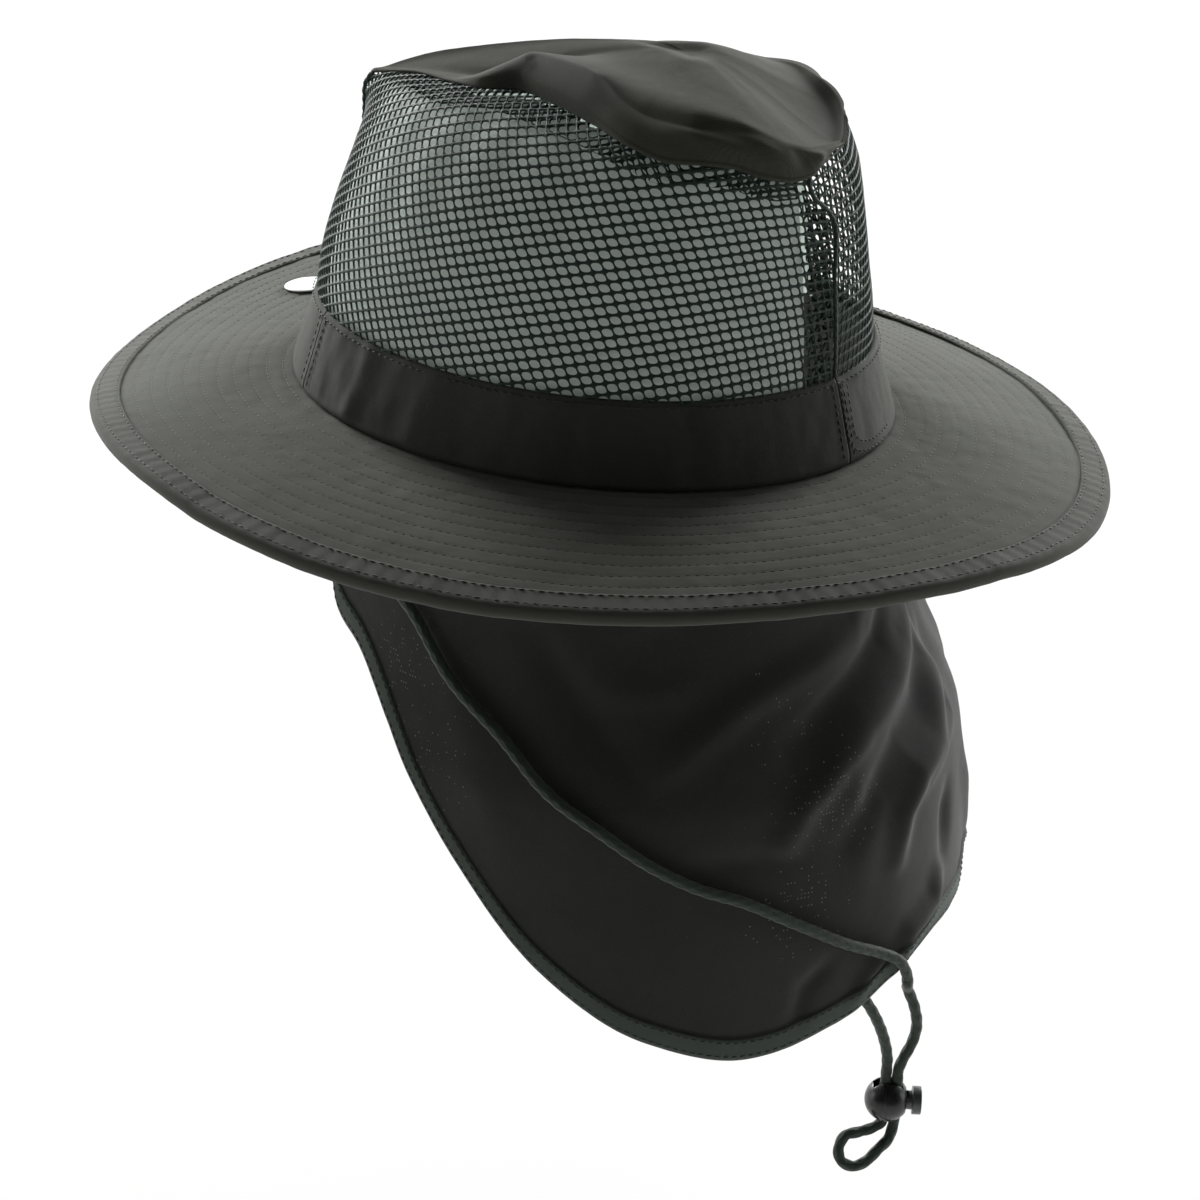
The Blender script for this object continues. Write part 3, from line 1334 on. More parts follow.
def band(name, start, end, node):
    """one length of the band; returns the stitch rows beside its joins"""
    angles = np.linspace(start, end, int(abs(end - start) * 1.9) + 8)
    heights = np.concatenate([[0.5, 0.9], np.linspace(2.2, 26.0, 22), [27.3, 28.2]])
    angle, z = np.meshgrid(angles, heights, indexing="ij")
    points = band_point(angle, z)
    normals = band_normal(angle)
    waves = (0.9 * value_noise(points * [1, 1, 0.35], 15, 21, octaves=3)
             + 0.12 * value_noise(points, 4, 5))
    for centre, slant, width, height in BAND_CREASES:
        waves = waves + height * hump(angle - (z - 14) * slant, centre, width)
    # cloth doubled at the joins stands a little proud
    to_join = np.minimum(angle - start, end - angle)
    inside = smooth(to_join, 0, 2.2)
    waves = waves * (0.25 + 0.75 * inside) + 0.35 * (1 - inside)
    roll = np.where((z < 0.8) | (z > 28.0), -0.55,
                    np.where((z < 1.6) | (z > 27), -0.1, 0.1))
    offset = waves * smooth(z, 0.5, 4) * (1 - smooth(z, 25, 28.2) * 0.6) + roll
    points = points + normals * offset[..., None]
    dark = 0.55 * (z < 1.0) + 0.35 * (z > 28) + 0.5 * hump(to_join, 0, 0.25)
    wear(sheet(name, points, normals, 1.0, BAND, dark=np.minimum(dark, 0.8)),
         node, "band_cloth")
    z = np.linspace(2.5, 26.5, 30)
    return [stitch_row(band_point(np.full(30, at), z, 0.42), band_normal(np.full(30, at)),
                       pitch=2.8)
            for at in (start + 1.6, end - 1.6)]


def crown_band():
    rows = []
    for name, start, end, node in (
            ("crown_band_front", -BAND_SIDE, BAND_SIDE, "band_front"),
            ("crown_band_left", BAND_SIDE, BAND_BACK, "band_left"),
            ("crown_band_right", BAND_BACK, 360 - BAND_SIDE, "band_right")):
        rows += band(name, start + BAND_GAP, end - BAND_GAP, node)
    angle = np.linspace(0, 360, 700, endpoint=False)
    rows.append(stitch_row(band_point(angle, np.full(700, 26.3), 0.35), band_normal(angle),
                           pitch=2.9, closed=True))
    for angles, heights in BACK_ROWS:
        spot = np.linspace(0, 9, 90)
        angle = pchip(range(10), angles)(spot) + 0.9
        z = pchip(range(10), heights)(spot)
        rows.append(stitch_row(band_point(angle, z, 0.55), band_normal(angle), pitch=2.6))
    wear(stitching("crown_band_topstitch", rows, THREAD))


crown_band()


# ------------------------------------------------------------------ sweatband
def sweatband_point(angle, z, inset=0.0):
    share = (z + 3.6) / 28.6
    return oval(angle, 84.1 - 4.0 * share - inset, 100.3 - 5.1 * share - inset, z)


def sweatband():
    angles = np.linspace(0, 360, 360, endpoint=False)
    angle, z = np.meshgrid(angles, np.linspace(-3.5, 24.8, 26), indexing="ij")
    points = sweatband_point(angle, z)
    normals = oval_normal(angle, *BASE)
    waves = (value_noise(points, 20, 31) * 0.25
             - 0.15 * (hump(z, 20, 1.0) + hump(z, 1, 1.0)))
    points = points + normals * np.minimum(waves, 0.2)[..., None]
    wear(sheet("sweatband_tape", points, normals, 1.2, SWEATBAND, closed=True),
         "sweatband", "sweatband_cloth")
    inward = -oval(angles, 1.0, 1.0, 0.0)
    rows = [stitch_row(sweatband_point(angles, height, inset=1.25), inward, pitch=3.0,
                       closed=True)
            for height in (20.0, 0.5)]
    wear(stitching("sweatband_stitching", rows, THREAD))


sweatband()


# ------------------------------------------------------------------ brim
BRIM_INNER = (87.0, 103.5)      # half width and half depth of the brim's inner edge
BINDING_EDGE = 10.5             # distance from the rim at which the stitch rows end
ROW_START = 1.2                 # distance from the inner edge at which they begin
BRIM_UNDER = -3.0               # height of the under cloth below the upper one
# stitch rows across the brim, as a share of its width inside the binding
STITCH_ROWS = [0.055 + 0.094 * k for k in range(10)]
# waves of the rim: waves per turn, cosine part, sine part
RIM_HEIGHT_WAVES = [(1, 1.49, 2.22), (2, -0.77, -2.72), (3, -2.84, -0.92), (4, -2.45, -1.16)]
RIM_SIZE_WAVES = [(2, 0.0009, -0.0077), (3, -0.0045, 0.0027), (4, 0.0045, -0.0044)]


def rim_waves(angle, mean, waves):
    turn = np.asarray(angle, float) * RAD
    return mean + sum(c * np.cos(k * turn) + s * np.sin(k * turn) for k, c, s in waves)


def rim_height(angle):
    around = np.mod(angle, 360)
    return (rim_waves(angle, -9.56, RIM_HEIGHT_WAVES)
            + 1.8 * hump(around, 158, 18) - 1.1 * hump(around, 75, 22))


def brim_span(angle):
    """inner edge and rim of the brim in plan, and the distance between them"""
    inner = oval(angle, *BRIM_INNER, 0.0)[..., :2]
    size = rim_waves(angle, 1, RIM_SIZE_WAVES)
    rim = oval(angle, 162 * size, 176 * size, 0.0)[..., :2] + [0, 2.57]
    return inner, rim, np.linalg.norm(rim - inner, axis=-1)


def brim_width(angle):
    return brim_span(angle)[2]


def brim(angle, depth, height):
    """point on the brim, depth in from the rim"""
    angle, depth, height = np.broadcast_arrays(
        np.asarray(angle, float), np.asarray(depth, float), np.asarray(height, float))
    inner, rim, width = brim_span(angle)
    share = 1 - depth / width
    flat = inner + (rim - inner) * share[..., None]
    z = rim_height(angle) * (0.35 * share + 0.65 * share * share) + height
    return np.concatenate([flat, z[..., None]], -1)


def row_share(angle, depth):
    """0 at the crown and 1 at the binding, and the width that this share measures"""
    width = brim_width(angle)
    inside = width - BINDING_EDGE
    return (width - depth - ROW_START) / inside, inside


def row_depth(angle, row):
    width = brim_width(angle)
    return width - ROW_START - row * (width - BINDING_EDGE)


def brim_relief(angle, depth):
    """quilting between the stitch rows, and slow waves"""
    share, inside = row_share(angle, depth)
    quilting = sum(-0.14 * hump((share - row) * inside, 0, 0.7) for row in STITCH_ROWS)
    points = brim(angle, depth, 0.0)
    return (quilting + 0.20 * value_noise(points, 6, 41)
            + 0.8 * value_noise(points, 42, 43) * smooth(share, 0, 0.2))


def brim_layer(name, height, side, material, node, slot, around, across, relief, thickness):
    """one layer of the brim; side is 1 facing up and -1 facing down"""
    angle, share = np.meshgrid(np.linspace(0, 360, around, endpoint=False),
                               np.linspace(0, 1, across), indexing="ij")
    width = brim_width(angle)
    depth = width + (2.0 - width) * share
    points = brim(angle, depth, height)
    dark = None
    if relief:
        points[..., 2] += side * relief * brim_relief(angle, depth)
        place, inside = row_share(angle, depth)
        dark = 0.7 * (place < 0.004) + 0.8 * hump(depth, 10.55, 0.55)
        for row in STITCH_ROWS:
            dark = dark + 0.07 * hump((place - row) * inside, 0, 0.45)
        dark = np.minimum(dark, 0.85)
    ob = sheet(name, points, facing(points, side), thickness, material, closed=True, dark=dark)
    wear(ob, node, slot)


brim_layer("brim_upper", 0.0, 1, BRIM, "brim_top_cloth", "brim_cloth",
           around=620, across=112, relief=1.0, thickness=0.85)
brim_layer("brim_core", -1.15, 1, STIFFENER, "brim_interlining", "interlining",
           around=160, across=12, relief=0.0, thickness=0.7)
brim_layer("brim_lower", BRIM_UNDER, -1, UNDER, "brim_under_cloth", "brim_cloth",
           around=480, across=84, relief=0.8, thickness=0.85)


def brim_rows(name, height, side, relief, **stitch):
    angle = np.linspace(0, 360, 1400, endpoint=False)
    rows = []
    for row in STITCH_ROWS:
        depth = row_depth(angle, row)
        points = brim(angle, depth, height)
        points[:, 2] += side * relief * brim_relief(angle, depth)
        rows.append(stitch_row(points, facing(points, side), closed=True, **stitch))
    wear(stitching(name, rows, BRIM_THREAD))


brim_rows("brim_stitch_rows", 0.0, 1, relief=1.0,
          pitch=2.9, length=2.0, radius=0.19, sink=0.12)
brim_rows("brim_stitch_rows_under", BRIM_UNDER, -1, relief=0.8,
          pitch=2.6, length=1.95, radius=0.22, sink=0.06)

# section of the binding tape: depth in from the rim, height
BINDING_SECTION = [
    (10.2, 0.15), (10.0, 0.75), (9.5, 1.0), (8.6, 1.02), (6.9, 0.78), (5.0, 1.05),
    (3.4, 0.82), (2.0, 0.98), (0.9, 0.7), (0.2, 0.0), (-0.05, -1.5), (0.2, -3.0),
    (0.9, -3.7), (2.0, -4.0), (5.0, -4.05), (8.6, -4.0), (9.8, -3.85), (10.1, -3.3),
    (9.0, -3.05), (1.6, -2.9), (1.3, -1.5), (1.6, -0.1), (9.0, -0.02)]


def binding_wobble(angle):
    rim = brim(angle, 0, 0)
    return 0.22 * value_noise(rim, 5.5, 51) + 0.35 * value_noise(rim, 26, 52)


def binding():
    angle = np.linspace(0, 360, 720, endpoint=False)[:, None]
    depth, height = np.array(BINDING_SECTION).T[:, None]
    rings = brim(angle, depth, height)
    rings[..., 2] += binding_wobble(angle)
    # small puckers where the tape eases round the curve
    pucker = 0.10 * np.sin(angle * 2.9 + 1.3 * np.sin(angle * RAD * 7))
    rings[..., 2] += pucker * ((depth > 1.5) & (depth < 9.6)) * np.sign(height + 1.5)
    wear(loft("brim_binding", rings, BINDING, closed=True),
         "brim_edge_binding", "binding_cloth")
    angle = np.linspace(0, 360, 1400, endpoint=False)
    rows = []
    for depth, top in ((8.9, 1.0), (2.6, 0.85)):
        for height, side in ((top, 1), (-4.0, -1)):
            points = brim(angle, depth, height)
            points[:, 2] += binding_wobble(angle)
            rows.append(stitch_row(points, facing(points, side), pitch=3.0, length=2.2,
                                   closed=True))
    wear(stitching("brim_binding_stitching", rows, BRIM_THREAD))


binding()


def sticker():
    """round size sticker on the front of the brim, on the wearer's right"""
    centre_x, centre_y = -31.7, -131.0
    radius = 8.6
    angle, depth = 346.4, 43.0
    turn, reach = np.meshgrid(np.linspace(0, TURN, 72, endpoint=False),
                              np.linspace(0.02, radius, 10), indexing="ij")
    x = centre_x + reach * np.cos(turn)
    y = centre_y + reach * np.sin(turn)
    # tilt of the brim here
    across = brim([angle - 2, angle + 2], depth, 0.0)
    along = brim(angle, [depth - 4, depth + 4], 0.0)
    run = np.stack([across[1] - across[0], along[1] - along[0]])
    tilt = np.linalg.solve(run[:, :2], run[:, 2])
    z = (brim(angle, depth, 0.0)[2] + 0.1 + tilt[0] * (x - centre_x)
         + tilt[1] * (y - centre_y) + 0.95
         + 0.12 * value_noise(np.stack([x, y, 0 * x], -1), 6, 61)
         - 0.15 * smooth(reach, radius - 1.0, radius))
    points = np.stack([x, y, z], -1)
    wear(sheet("size_sticker_disc", points, facing(points, 1), 0.3, LABEL, closed=True),
         "size_sticker", "sticker")


sticker()

# ------------------------------------------------------------------ neck flap
FLAP_START, FLAP_END = 58, 302  # angles of the flap's two front edges
# how far the flap stands out, by height
flap_flare = pchip([-240, -155, -130, -104, -90, -72, -40, -4], [40, 38, 36, 33, 27, 17, 6, 0])
# height of the lower edge, by angle
hem_height = pchip(
    [56, 60, 62, 70, 78, 95, 110, 125, 140, 155, 170, 180,
     190, 200, 212, 225, 240, 250, 265, 282, 290, 298, 300, 304],
    [-40, -58, -64, -73, -87, -128, -162, -183, -191, -184, -171, -167,
     -167, -163, -167, -180, -178, -165, -128, -84, -73, -64, -58, -40])
# soft folds: path (angle, height), width mm, height mm
FLAP_FOLDS = [
    ([(170, -50), (167, -55.5), (159.6, -59), (150, -64), (142, -69), (133, -79), (126, -90)],
     5.5, 2.6),
    ([(187.6, -61), (182, -69), (173.5, -76), (164.3, -82), (156.5, -90), (149.6, -100),
      (145.8, -113)], 5.5, 4.2),
    ([(191.4, -69), (190, -79.5), (185, -89), (180.4, -97), (173.5, -104), (168.4, -114),
      (166.5, -130)], 5.0, 4.0),
    ([(196, -70), (191.4, -83), (189.2, -96), (182.6, -102), (174.4, -111)], 4.0, 2.0),
    ([(198, -30), (196, -50), (194, -72), (196, -92)], 11.0, -3.6),
    ([(179, -52), (174, -62), (165, -70), (157, -76), (148, -84)], 5.0, -3.0),
    ([(188, -76), (180, -86), (171, -92), (162, -103), (157, -116)], 5.5, -3.4),
    ([(104.6, -50), (112, -66), (117, -77), (125.6, -94)], 7.0, -1.6),
    ([(120, -46), (127, -40), (132, -38)], 4.0, 1.0),
    ([(148.5, -180), (149.6, -168), (154, -160)], 3.5, -1.6),
    ([(158, -178), (160.9, -169), (164.3, -164)], 3.0, 1.6),
    ([(181, -140), (177.6, -155), (170.6, -160), (167, -169)], 5.0, 3.0),
    ([(184, -120), (183, -134), (180, -146)], 5.0, -2.4),
    ([(117, -65), (125, -66), (133.5, -64)], 5.0, 0.9),
    ([(132, -119), (141, -119), (148, -120)], 4.5, -1.2),
    ([(159.6, -136), (159.9, -118), (159.6, -104), (160.6, -92)], 8.0, 1.6),
    ([(205, -50), (212, -80), (222, -115), (228, -150)], 8.0, 3.0),
    ([(218, -45), (228, -72), (240, -104), (245, -135)], 8.0, -2.6),
    ([(236, -40), (248, -62), (262, -84)], 7.0, 2.2),
    ([(196, -120), (200, -138), (203, -160)], 6.0, 2.4),
    ([(88, -48), (92, -70), (98, -96), (104, -122)], 9.0, 1.0)]
# section of the folded hem: height above the lower edge, offset outward
HEM_SECTION = [
    (8.2, -0.1), (8.0, 0.55), (7.2, 0.75), (4.0, 0.62), (1.4, 0.8), (0.4, 0.5), (0.0, -0.35),
    (0.4, -1.2), (1.4, -1.5), (4.0, -1.35), (7.2, -1.45), (8.0, -1.25), (8.2, -0.6)]


def flap_at(angle, z, offset):
    """points on the smooth flap moved outward by offset, and the outward normals"""
    angle, z, offset = np.broadcast_arrays(
        np.asarray(angle, float), np.asarray(z, float), np.asarray(offset, float))
    arch = np.clip(np.sin((angle - FLAP_START) / (FLAP_END - FLAP_START) * math.pi), 0, 1)
    flare = flap_flare(z) * (0.25 + 0.75 * arch)
    normals = oval_normal(angle, 87 + flare, 103 + flare)
    return oval(angle, 87 + flare, 103 + flare, z) + normals * offset[..., None], normals


def flap_relief(angle, z):
    angle, z = np.broadcast_arrays(np.asarray(angle, float), np.asarray(z, float))
    points, _ = flap_at(angle, z, 0.0)
    folds = fold_height(angle, z, FLAP_FOLDS, x_scale=122.0 * RAD)
    waves = 0.9 * value_noise(points * [1, 1, 0.5], 34, 71)
    # calm at the sewn top and towards the left front edge
    calm = smooth(-z, 3, 26) * (1 - smooth(60 - angle, -6, 2))
    return (folds + waves) * calm + 0.08 * value_noise(points, 5, 72)


def flap_cloth():
    angles = np.linspace(FLAP_START, FLAP_END, 460)
    angle, share = np.meshgrid(angles, np.linspace(0, 1, 104), indexing="ij")
    bottom = hem_height(angle) + 11.0
    z = bottom + (-3.8 - bottom) * share
    # closer rows inside the hem
    rows = np.linspace(1.2, 10.4, 16)[None]
    angle = np.concatenate([angle[:, :16], angle], 1)
    z = np.concatenate([hem_height(angles)[:, None] + rows, z], 1)
    points, outward = flap_at(angle, z, flap_relief(angle, z))
    across = np.repeat(run_length(points[:, 60])[:, None], z.shape[1], 1)
    normals = grid_normals(points)
    normals *= np.sign((normals * outward).sum())
    dark = 0.85 * hump(z - hem_height(angle), 8.9, 0.7)
    ob = sheet("neck_flap_cloth", points, normals, 0.7, FLAP,
               weave=np.stack([across, z, 0 * z], -1), dark=dark)
    swing(ob, "neck_flap", "flap_cloth")


def flap_hem():
    """folded strip round the flap's lower edge, with two rows of stitches"""
    angle = np.linspace(FLAP_START, FLAP_END, 620)[:, None]
    rise, offset = np.array(HEM_SECTION).T[:, None]
    z = hem_height(angle) + rise
    spots = np.stack([angle * 2 + 0 * z, z * 0, 0 * z], -1)
    rings, _ = flap_at(angle, z, flap_relief(angle, z) + offset
                       + 0.1 * value_noise(spots, 4, 73))
    swing(loft("neck_flap_hem", rings, HEM), "flap_hem", "hem_cloth")
    rows = []
    for rise in (7.0, 1.9):
        angle = np.linspace(FLAP_START + 0.4, FLAP_END - 0.4, 1000)
        z = hem_height(angle) + rise
        points, normals = flap_at(angle, z, flap_relief(angle, z) + 0.72)
        rows.append(stitch_row(points, normals, pitch=2.9, length=2.1, radius=0.24))
    swing(stitching("neck_flap_hem_stitching", rows, THREAD))


flap_cloth()
flap_hem()

# ------------------------------------------------------------------ chin cord
LOCK = np.array([22, 137.5, -227.0])            # centre of the ball lock
LOCK_AXIS = np.array([-0.439, 0.8985, 0.0])     # the way the push button points

# cord runs over the flap: angle, height, offset outward
LEFT_RUN = [
    (53, -6, 0.0), (53, -14, 0.6), (54.5, -20, 3), (58, -26, 5.6), (64, -32, 4.8),
    (73, -41, 4.0), (82, -51, 3.0), (92, -69, 3.0), (102, -83, 3.0), (110, -97, 3.0),
    (118, -107, 3.0), (125, -117, 3.0), (132, -125, 3.0), (139, -131, 3.0), (147, -141, 3.0),
    (156, -153, 3.0), (162, -160, 3.0), (165.6, -165.5, 3.6), (167.6, -173.0, 4.0),
    (168.1, -177.0, 4.2)]
RIGHT_RUN = [
    (307, -6, 0.0), (307, -14, 0.6), (306.3, -20, -2.5), (304.5, -26, -6), (299, -31, -6.0),
    (288, -41, -5.6), (278, -51, -5.0), (268, -69, -5.0), (258, -83, -5.0), (250, -97, -5.0),
    (242, -107, -5.0), (235, -117, -5.0), (228, -125, -5.0), (221, -131, -5.0),
    (213, -141, -5.0), (204, -150, -5.0), (196, -156, -5.0), (187, -162, -5.0),
    (180, -167, -5.0), (173, -168, -5.6), (167, -170, -5.8), (162.4, -174, -6.0),
    (160.9, -178, -6.0)]


def cord_curve(points, step=0.45):
    """centripetal spline through the points, in even steps"""
    points = np.asarray(points, float)
    padded = np.concatenate([[2 * points[0] - points[1]], points,
                             [2 * points[-1] - points[-2]]])
    curve = []
    for i in range(1, len(padded) - 2):
        a, b, c, d = padded[i - 1:i + 3]
        t = [0.0]
        for start, end in ((a, b), (b, c), (c, d)):
            t.append(t[-1] + max(np.linalg.norm(end - start), 1e-6) ** 0.5)
        count = max(2, int(np.linalg.norm(c - b) / 0.2))
        for at in np.linspace(t[1], t[2], count, endpoint=False):
            def between(start, end, low, high):
                gap = t[high] - t[low]
                return (t[high] - at) / gap * start + (at - t[low]) / gap * end
            ab = between(a, b, 0, 1)
            bc = between(b, c, 1, 2)
            cd = between(c, d, 2, 3)
            curve.append(between(between(ab, bc, 0, 2), between(bc, cd, 1, 3), 1, 2))
    curve = np.array([*curve, points[-1]])
    lengths = run_length(curve)
    spots = np.linspace(0, lengths[-1], max(8, int(lengths[-1] / step)))
    return resample(lengths, curve, spots)


def braid_radius(around, length):
    """strands that wind both ways and pass over each other"""
    pitch = 5.2
    one_way = 4 * around + TURN * length / pitch
    other_way = 4 * around - TURN * length / pitch
    over = 0.5 + 0.5 * np.tanh(3 * np.cos((one_way + other_way) / 2 + math.pi / 2))
    height = np.maximum(np.abs(np.cos(one_way / 2)) ** 0.8 * (0.7 + 0.3 * over),
                        np.abs(np.cos(other_way / 2)) ** 0.8 * (1.0 - 0.3 * over))
    return 1.9 * (0.84 + 0.2 * height)


def braid(name, points):
    return twine(name, cord_curve(points), CORD, braid_radius, sides=32,
                 reference=[0.3, 0.2, 1.0])


def on_flap(angle, z, offset):
    """point off the folded flap; above z = -8 the folds are left out"""
    angle, z = np.array([float(angle)]), np.array([float(z)])
    relief = flap_relief(angle, z) if z[0] < -8 else 0.0
    return flap_at(angle, z, offset + relief)[0][0]


def cords():
    for name, run, node in (("chin_cord_left", LEFT_RUN, "cord_left_run"),
                            ("chin_cord_right", RIGHT_RUN, "cord_right_run")):
        swing(braid(name, [on_flap(*station) for station in run]), node, "cord")
    # both strands drop from the flap to the ball, then a short loop hangs toward +X
    outer = LOCK + LOCK_AXIS * 3.05
    inner = LOCK - LOCK_AXIS * 1.05
    tail = [
        on_flap(167.75, -174.2, 4.05), on_flap(168.1, -176.6, 4.2),
        (22.6, 141.4, -181.2), (19.9, 143.4, -189.0), (17.8, 144.2, -197.5),
        (18.0, 143.2, -204.5), outer + (-1.0, 1.2, 17.0), outer + (0, 0, 12.2),
        outer + (0, 0, 6), outer, outer + (0, 0, -6), outer + (0.25, 0.05, -9.6),
        (24.0, 140.0, -241.4), (28.2, 138.4, -243.6), (32.4, 135.6, -247.4),
        (35.6, 132.4, -248.6), (37.0, 128.6, -247.0), (36.2, 126.8, -243.4),
        (33.2, 127.6, -239.2), (29.4, 131.0, -238.6), (25.4, 134.4, -238.0),
        inner + (0.12, -0.12, -9.4), inner + (0, 0, -5.5), inner, inner + (0, 0, 6),
        inner + (0, 0, 12.5), inner + (0.6, 0.1, 16.5), (24.9, 136.2, -204.0),
        (29.3, 134.4, -193.3), (34.1, 131.2, -183.6), on_flap(161.0, -177.6, -6.0)]
    ob = braid("chin_cord_tail", tail)
    stand_in(ob, "cord_tail", "cord")
    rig.blend(ob, "neck_flap", "cord_tail", start=(0, 0.138, -0.1775), end=(0, 0.138, -0.196))


cords()


def cord_loop(name, start, end, node):
    """short tab of cloth that holds the cord at the temple"""
    angle, share = np.meshgrid(np.linspace(start, end, 14), np.linspace(0, 1, 26),
                               indexing="ij")
    swell = (0.9 * np.sin(share * math.pi) + 0.12 * np.sin(angle * 4)) * 0.5
    points = oval(angle, 87.9 + swell, 103.9 + swell, -4.2 - 8.2 * share)
    wear(sheet(name, points, oval_normal(angle, *BASE), 1.0, BAND), node, "band_cloth")


cord_loop("cord_loop_left", 50.6, 55.4, "cord_tab_left")
cord_loop("cord_loop_right", 304.6, 309.4, "cord_tab_right")


# ------------------------------------------------------------------ ball lock
# parts are built round the origin with the push axis along x, then moved to the lock
def bm_object(bm, name="cut"):
    mesh = bpy.data.meshes.new(name)
    bm.to_mesh(mesh)
    bm.free()
    ob = bpy.data.objects.new(name, mesh)
    bpy.context.scene.collection.objects.link(ob)
    return ob


def box(start, end, half_y, half_z):
    bm = bmesh.new()
    bmesh.ops.create_cube(bm, size=1.0)
    for vert in bm.verts:
        x, y, z = vert.co
        vert.co = Vector(((start + end) / 2 + x * (end - start),
                          y * 2 * half_y, z * 2 * half_z)) * MM
    return bm_object(bm)


def rod(start, end, radius, segments=64):
    bm = bmesh.new()
    bmesh.ops.create_cone(bm, cap_ends=True, segments=segments, radius1=radius * MM,
                          radius2=radius * MM, depth=(end - start) * MM)
    move = Matrix.Translation(((start + end) / 2 * MM, 0, 0))
    bmesh.ops.transform(bm, matrix=move @ Matrix.Rotation(math.pi / 2, 4, "Y"),
                        verts=bm.verts)
    return bm_object(bm)


def boolean(ob, cutter, operation="DIFFERENCE"):
    modifier = ob.modifiers.new("b", "BOOLEAN")
    modifier.operation = operation
    modifier.object = cutter
    modifier.solver = "EXACT"
    apply_modifiers(ob)
    bpy.data.objects.remove(cutter, do_unlink=True)


def finish_part(ob, name, material, bevel, body, node, slot):
    modifier = ob.modifiers.new("bev", "BEVEL")
    modifier.width = bevel * MM
    modifier.segments = 3
    modifier.limit_method = "ANGLE"
    modifier.angle_limit = 0.7
    apply_modifiers(ob)
    mesh = ob.data
    mesh.materials.clear()
    mesh.materials.append(material)
    for polygon in mesh.polygons:
        polygon.use_smooth = True
    ob.name = name
    mesh.name = name
    axis = Vector(LOCK_AXIS).normalized()
    frame = Matrix(((axis.x, -axis.y, 0, 0), (axis.y, axis.x, 0, 0),
                    (0, 0, 1, 0), (0, 0, 0, 1)))
    frame.translation = Vector(LOCK) * MM
    mesh.transform(frame)
    mesh.set_sharp_from_angle(angle=0.9)
    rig.ride(ob, body)
    stand_in(ob, node, slot)


def lock_ball():
    bm = bmesh.new()
    bmesh.ops.create_uvsphere(bm, u_segments=72, v_segments=40, radius=7.8 * MM)
    ball = bm_object(bm, "lock_ball")
    boolean(ball, box(6.3, 12, 10, 10))         # flat face on the button side
    boolean(ball, box(-5.2, 5.2, 2.2, 10))      # slot for the cord
    boolean(ball, rod(-6.7, 12, 3.6))           # bore for the button
    # shallow groove round the ball
    ring = rod(-1.55, -0.85, 12, segments=72)
    boolean(ring, rod(-3, 1, 7.35))
    boolean(ball, ring)
    finish_part(ball, "lock_ball", LOCK_PLASTIC, bevel=0.25, body="cord_lock",
                node="lock_body", slot="lock_plastic")


def lock_button():
    button = rod(-4.0, 9.2, 3.3)
    boolean(button, rod(8.6, 11.6, 4.9), "UNION")
    boolean(button, box(-3.2, 7.2, 2.2, 10))    # slot for the cord
    boolean(button, rod(11.2, 13, 3.4))         # dished end
    finish_part(button, "lock_push_button", BUTTON_PLASTIC, bevel=0.3, body="lock_button",
                node="lock_button", slot="button_plastic")


def spring_wire():
    m = Material("spring_wire")
    m.set("Metallic", 1.0)
    noise = m.noise(m.place(), scale=1800.0)
    m.set("Base Color", m.ramp(noise, low=(120, 122, 125), high=(190, 192, 195)))
    m.set("Roughness", m.scale_add(noise, scale=0.3, add=0.2))
    m.bump(noise, strength=0.1, distance=0.00005)
    return m.data


def spring():
    """two and a half turns of wire between the blind end of the bore and the button"""
    material = spring_wire()
    axis = LOCK_AXIS / np.linalg.norm(LOCK_AXIS)
    aside = np.array([-axis[1], axis[0], 0.0])
    share = np.linspace(0, 1, 120)[:, None]
    turn = share * 2.5 * TURN
    radius = 2.3
    path = (LOCK + axis * (-6.42 + 2.05 * share) + aside * (radius * np.cos(turn))
            + np.array([0, 0, 1.0]) * (radius * np.sin(turn)))
    ob = rope("lock_spring_wire", path, 0.2, material)
    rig.ride(ob, "cord_lock")
    stand_in(ob, "lock_spring", "spring_steel")
    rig.squash(ob, "button_push", [float(x) for x in axis],
              [float(x) * MM for x in LOCK - axis * 6.62], keep=0.2)


lock_ball()
lock_button()
spring()

# ------------------------------------------------------------------ floor, light, camera
scene = bpy.context.scene
scene.view_settings.view_transform = "Standard"
scene.view_settings.look = "None"
scene.view_settings.exposure = 0.0

# camera: turned round to the wearer's left and back, a little above; degrees and mm
AZIMUTH = 116.087 * RAD
ELEVATION = 25.104 * RAD
ROLL = 2.862 * RAD
DISTANCE = 1186.28
TARGET = np.array([42.3, 28.08, -57.17])
BACK = np.array([math.sin(AZIMUTH) * math.cos(ELEVATION),
                 -math.cos(AZIMUTH) * math.cos(ELEVATION), math.sin(ELEVATION)])
RIGHT = np.array([math.cos(AZIMUTH), math.sin(AZIMUTH), 0.0])


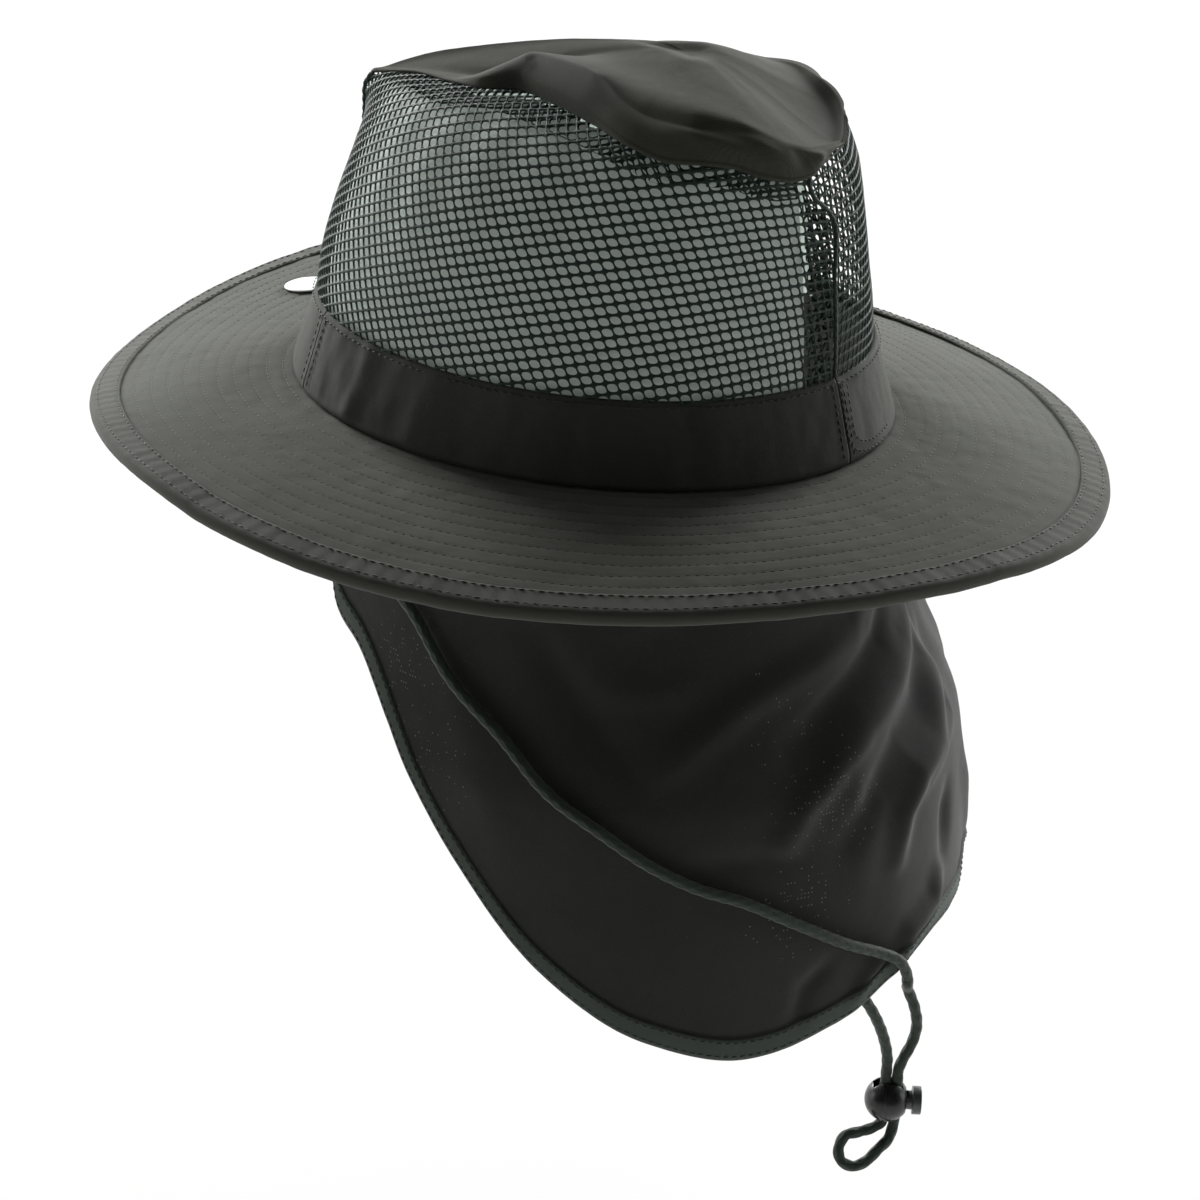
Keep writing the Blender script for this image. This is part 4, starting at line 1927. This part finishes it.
def floor():
    m = Material("pale_floor")
    noise = m.noise(m.place(), scale=6.0, detail=4.0)
    m.set("Base Color", m.ramp(noise, low=(238, 238, 236), high=(244, 244, 243)))
    m.set("Roughness", 0.9)
    m.set("Specular IOR Level", 0.1)
    # the camera sees it almost pure white
    white = m.node("ShaderNodeEmission")
    white.inputs[0].default_value = (1, 1, 1, 1)
    white.inputs[1].default_value = 1.0
    rays = m.node("ShaderNodeLightPath")
    mix = m.node("ShaderNodeMixShader")
    m.link(m.times(rays.outputs["Is Camera Ray"], 0.93), mix.inputs[0])
    m.link(m.surface.outputs[0], mix.inputs[1])
    m.link(white.outputs[0], mix.inputs[2])
    m.link(mix.outputs[0], m.out.inputs[0])
    half, z = 8.0, -0.272
    mesh = bpy.data.meshes.new("floor")
    mesh.from_pydata([(-half, -half, z), (half, -half, z), (half, half, z), (-half, half, z)],
                     [], [(0, 1, 2, 3)])
    mesh.materials.append(m.data)
    ob = bpy.data.objects.new("floor", mesh)
    scene.collection.objects.link(ob)
    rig.stage(ob)


def studio():
    """white room, dark on the camera's side so the near surfaces stay deep"""
    world = bpy.data.worlds.new("studio")
    scene.world = world
    world.use_nodes = True
    nodes, link = world.node_tree.nodes, world.node_tree.links.new
    background = nodes["Background"]
    background.inputs[0].default_value = (1, 1, 1, 1)
    place = nodes.new("ShaderNodeTexCoord")
    toward = nodes.new("ShaderNodeVectorMath")
    toward.operation = "DOT_PRODUCT"
    toward.inputs[1].default_value = (math.sin(AZIMUTH), -math.cos(AZIMUTH), 0.15)
    link(place.outputs["Generated"], toward.inputs[0])
    fade = nodes.new("ShaderNodeMapRange")
    fade.interpolation_type = "SMOOTHSTEP"
    link(toward.outputs["Value"], fade.inputs[0])
    # from -0.95..0.18 to brightness 1.3..0.04
    for k, value in ((1, -0.95), (2, 0.18), (3, 1.3), (4, 0.04)):
        fade.inputs[k].default_value = value
    rays = nodes.new("ShaderNodeLightPath")
    mix = nodes.new("ShaderNodeMix")
    mix.data_type = "FLOAT"
    link(rays.outputs["Is Camera Ray"], mix.inputs[0])
    link(fade.outputs[0], mix.inputs[2])
    mix.inputs[3].default_value = 1.0
    link(mix.outputs[0], background.inputs[1])


def camera():
    up = np.cross(BACK, RIGHT)
    rolled_right = math.cos(ROLL) * RIGHT + math.sin(ROLL) * up
    rolled_up = -math.sin(ROLL) * RIGHT + math.cos(ROLL) * up
    data = bpy.data.cameras.new("camera")
    data.sensor_width = 36
    data.lens = 107.3358
    data.clip_start = 0.01
    data.clip_end = 50
    ob = bpy.data.objects.new("camera", data)
    scene.collection.objects.link(ob)
    place = (TARGET + BACK * DISTANCE) * MM
    rows = [tuple(row) for row in np.stack([rolled_right, rolled_up, BACK, place], 1)]
    ob.matrix_world = Matrix((*rows, (0, 0, 0, 1)))
    scene.camera = ob


# name, then metres to the camera's right, toward the camera and up, then size and power
LIGHTS = [
    ("key_left", -1.25, -1.6, 0.8, 0.9, 60),
    ("key_right", 1.25, -1.6, 0.8, 0.9, 48),
    ("side_left", -1.8, 0.0, 0.25, 0.8, 4.5),
    ("side_right", 1.8, 0.0, 0.25, 0.8, 4.5),
    ("front_fill", 0.0, 2.0, 0.9, 1.4, 0.5)]


def lights():
    """area lights that all face the middle of the hat"""
    centre = Vector((0.0, 0.0, -0.05))
    level_back = Vector((BACK[0], BACK[1], 0)).normalized()
    for name, sideways, toward, height, size, power in LIGHTS:
        data = bpy.data.lights.new(name, "AREA")
        data.energy = power
        data.size = size
        ob = bpy.data.objects.new(name, data)
        ob.location = (centre + Vector(RIGHT) * sideways + level_back * toward
                       + Vector((0, 0, 1)) * height)
        ob.rotation_euler = (centre - ob.location).to_track_quat("-Z", "Y").to_euler()
        scene.collection.objects.link(ob)


floor()
studio()
camera()
lights()

with open("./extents.json", "w") as f:
    json.dump({"cad": CAD_BOX, "visual": [list(map(float, p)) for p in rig.bounds()]}, f)
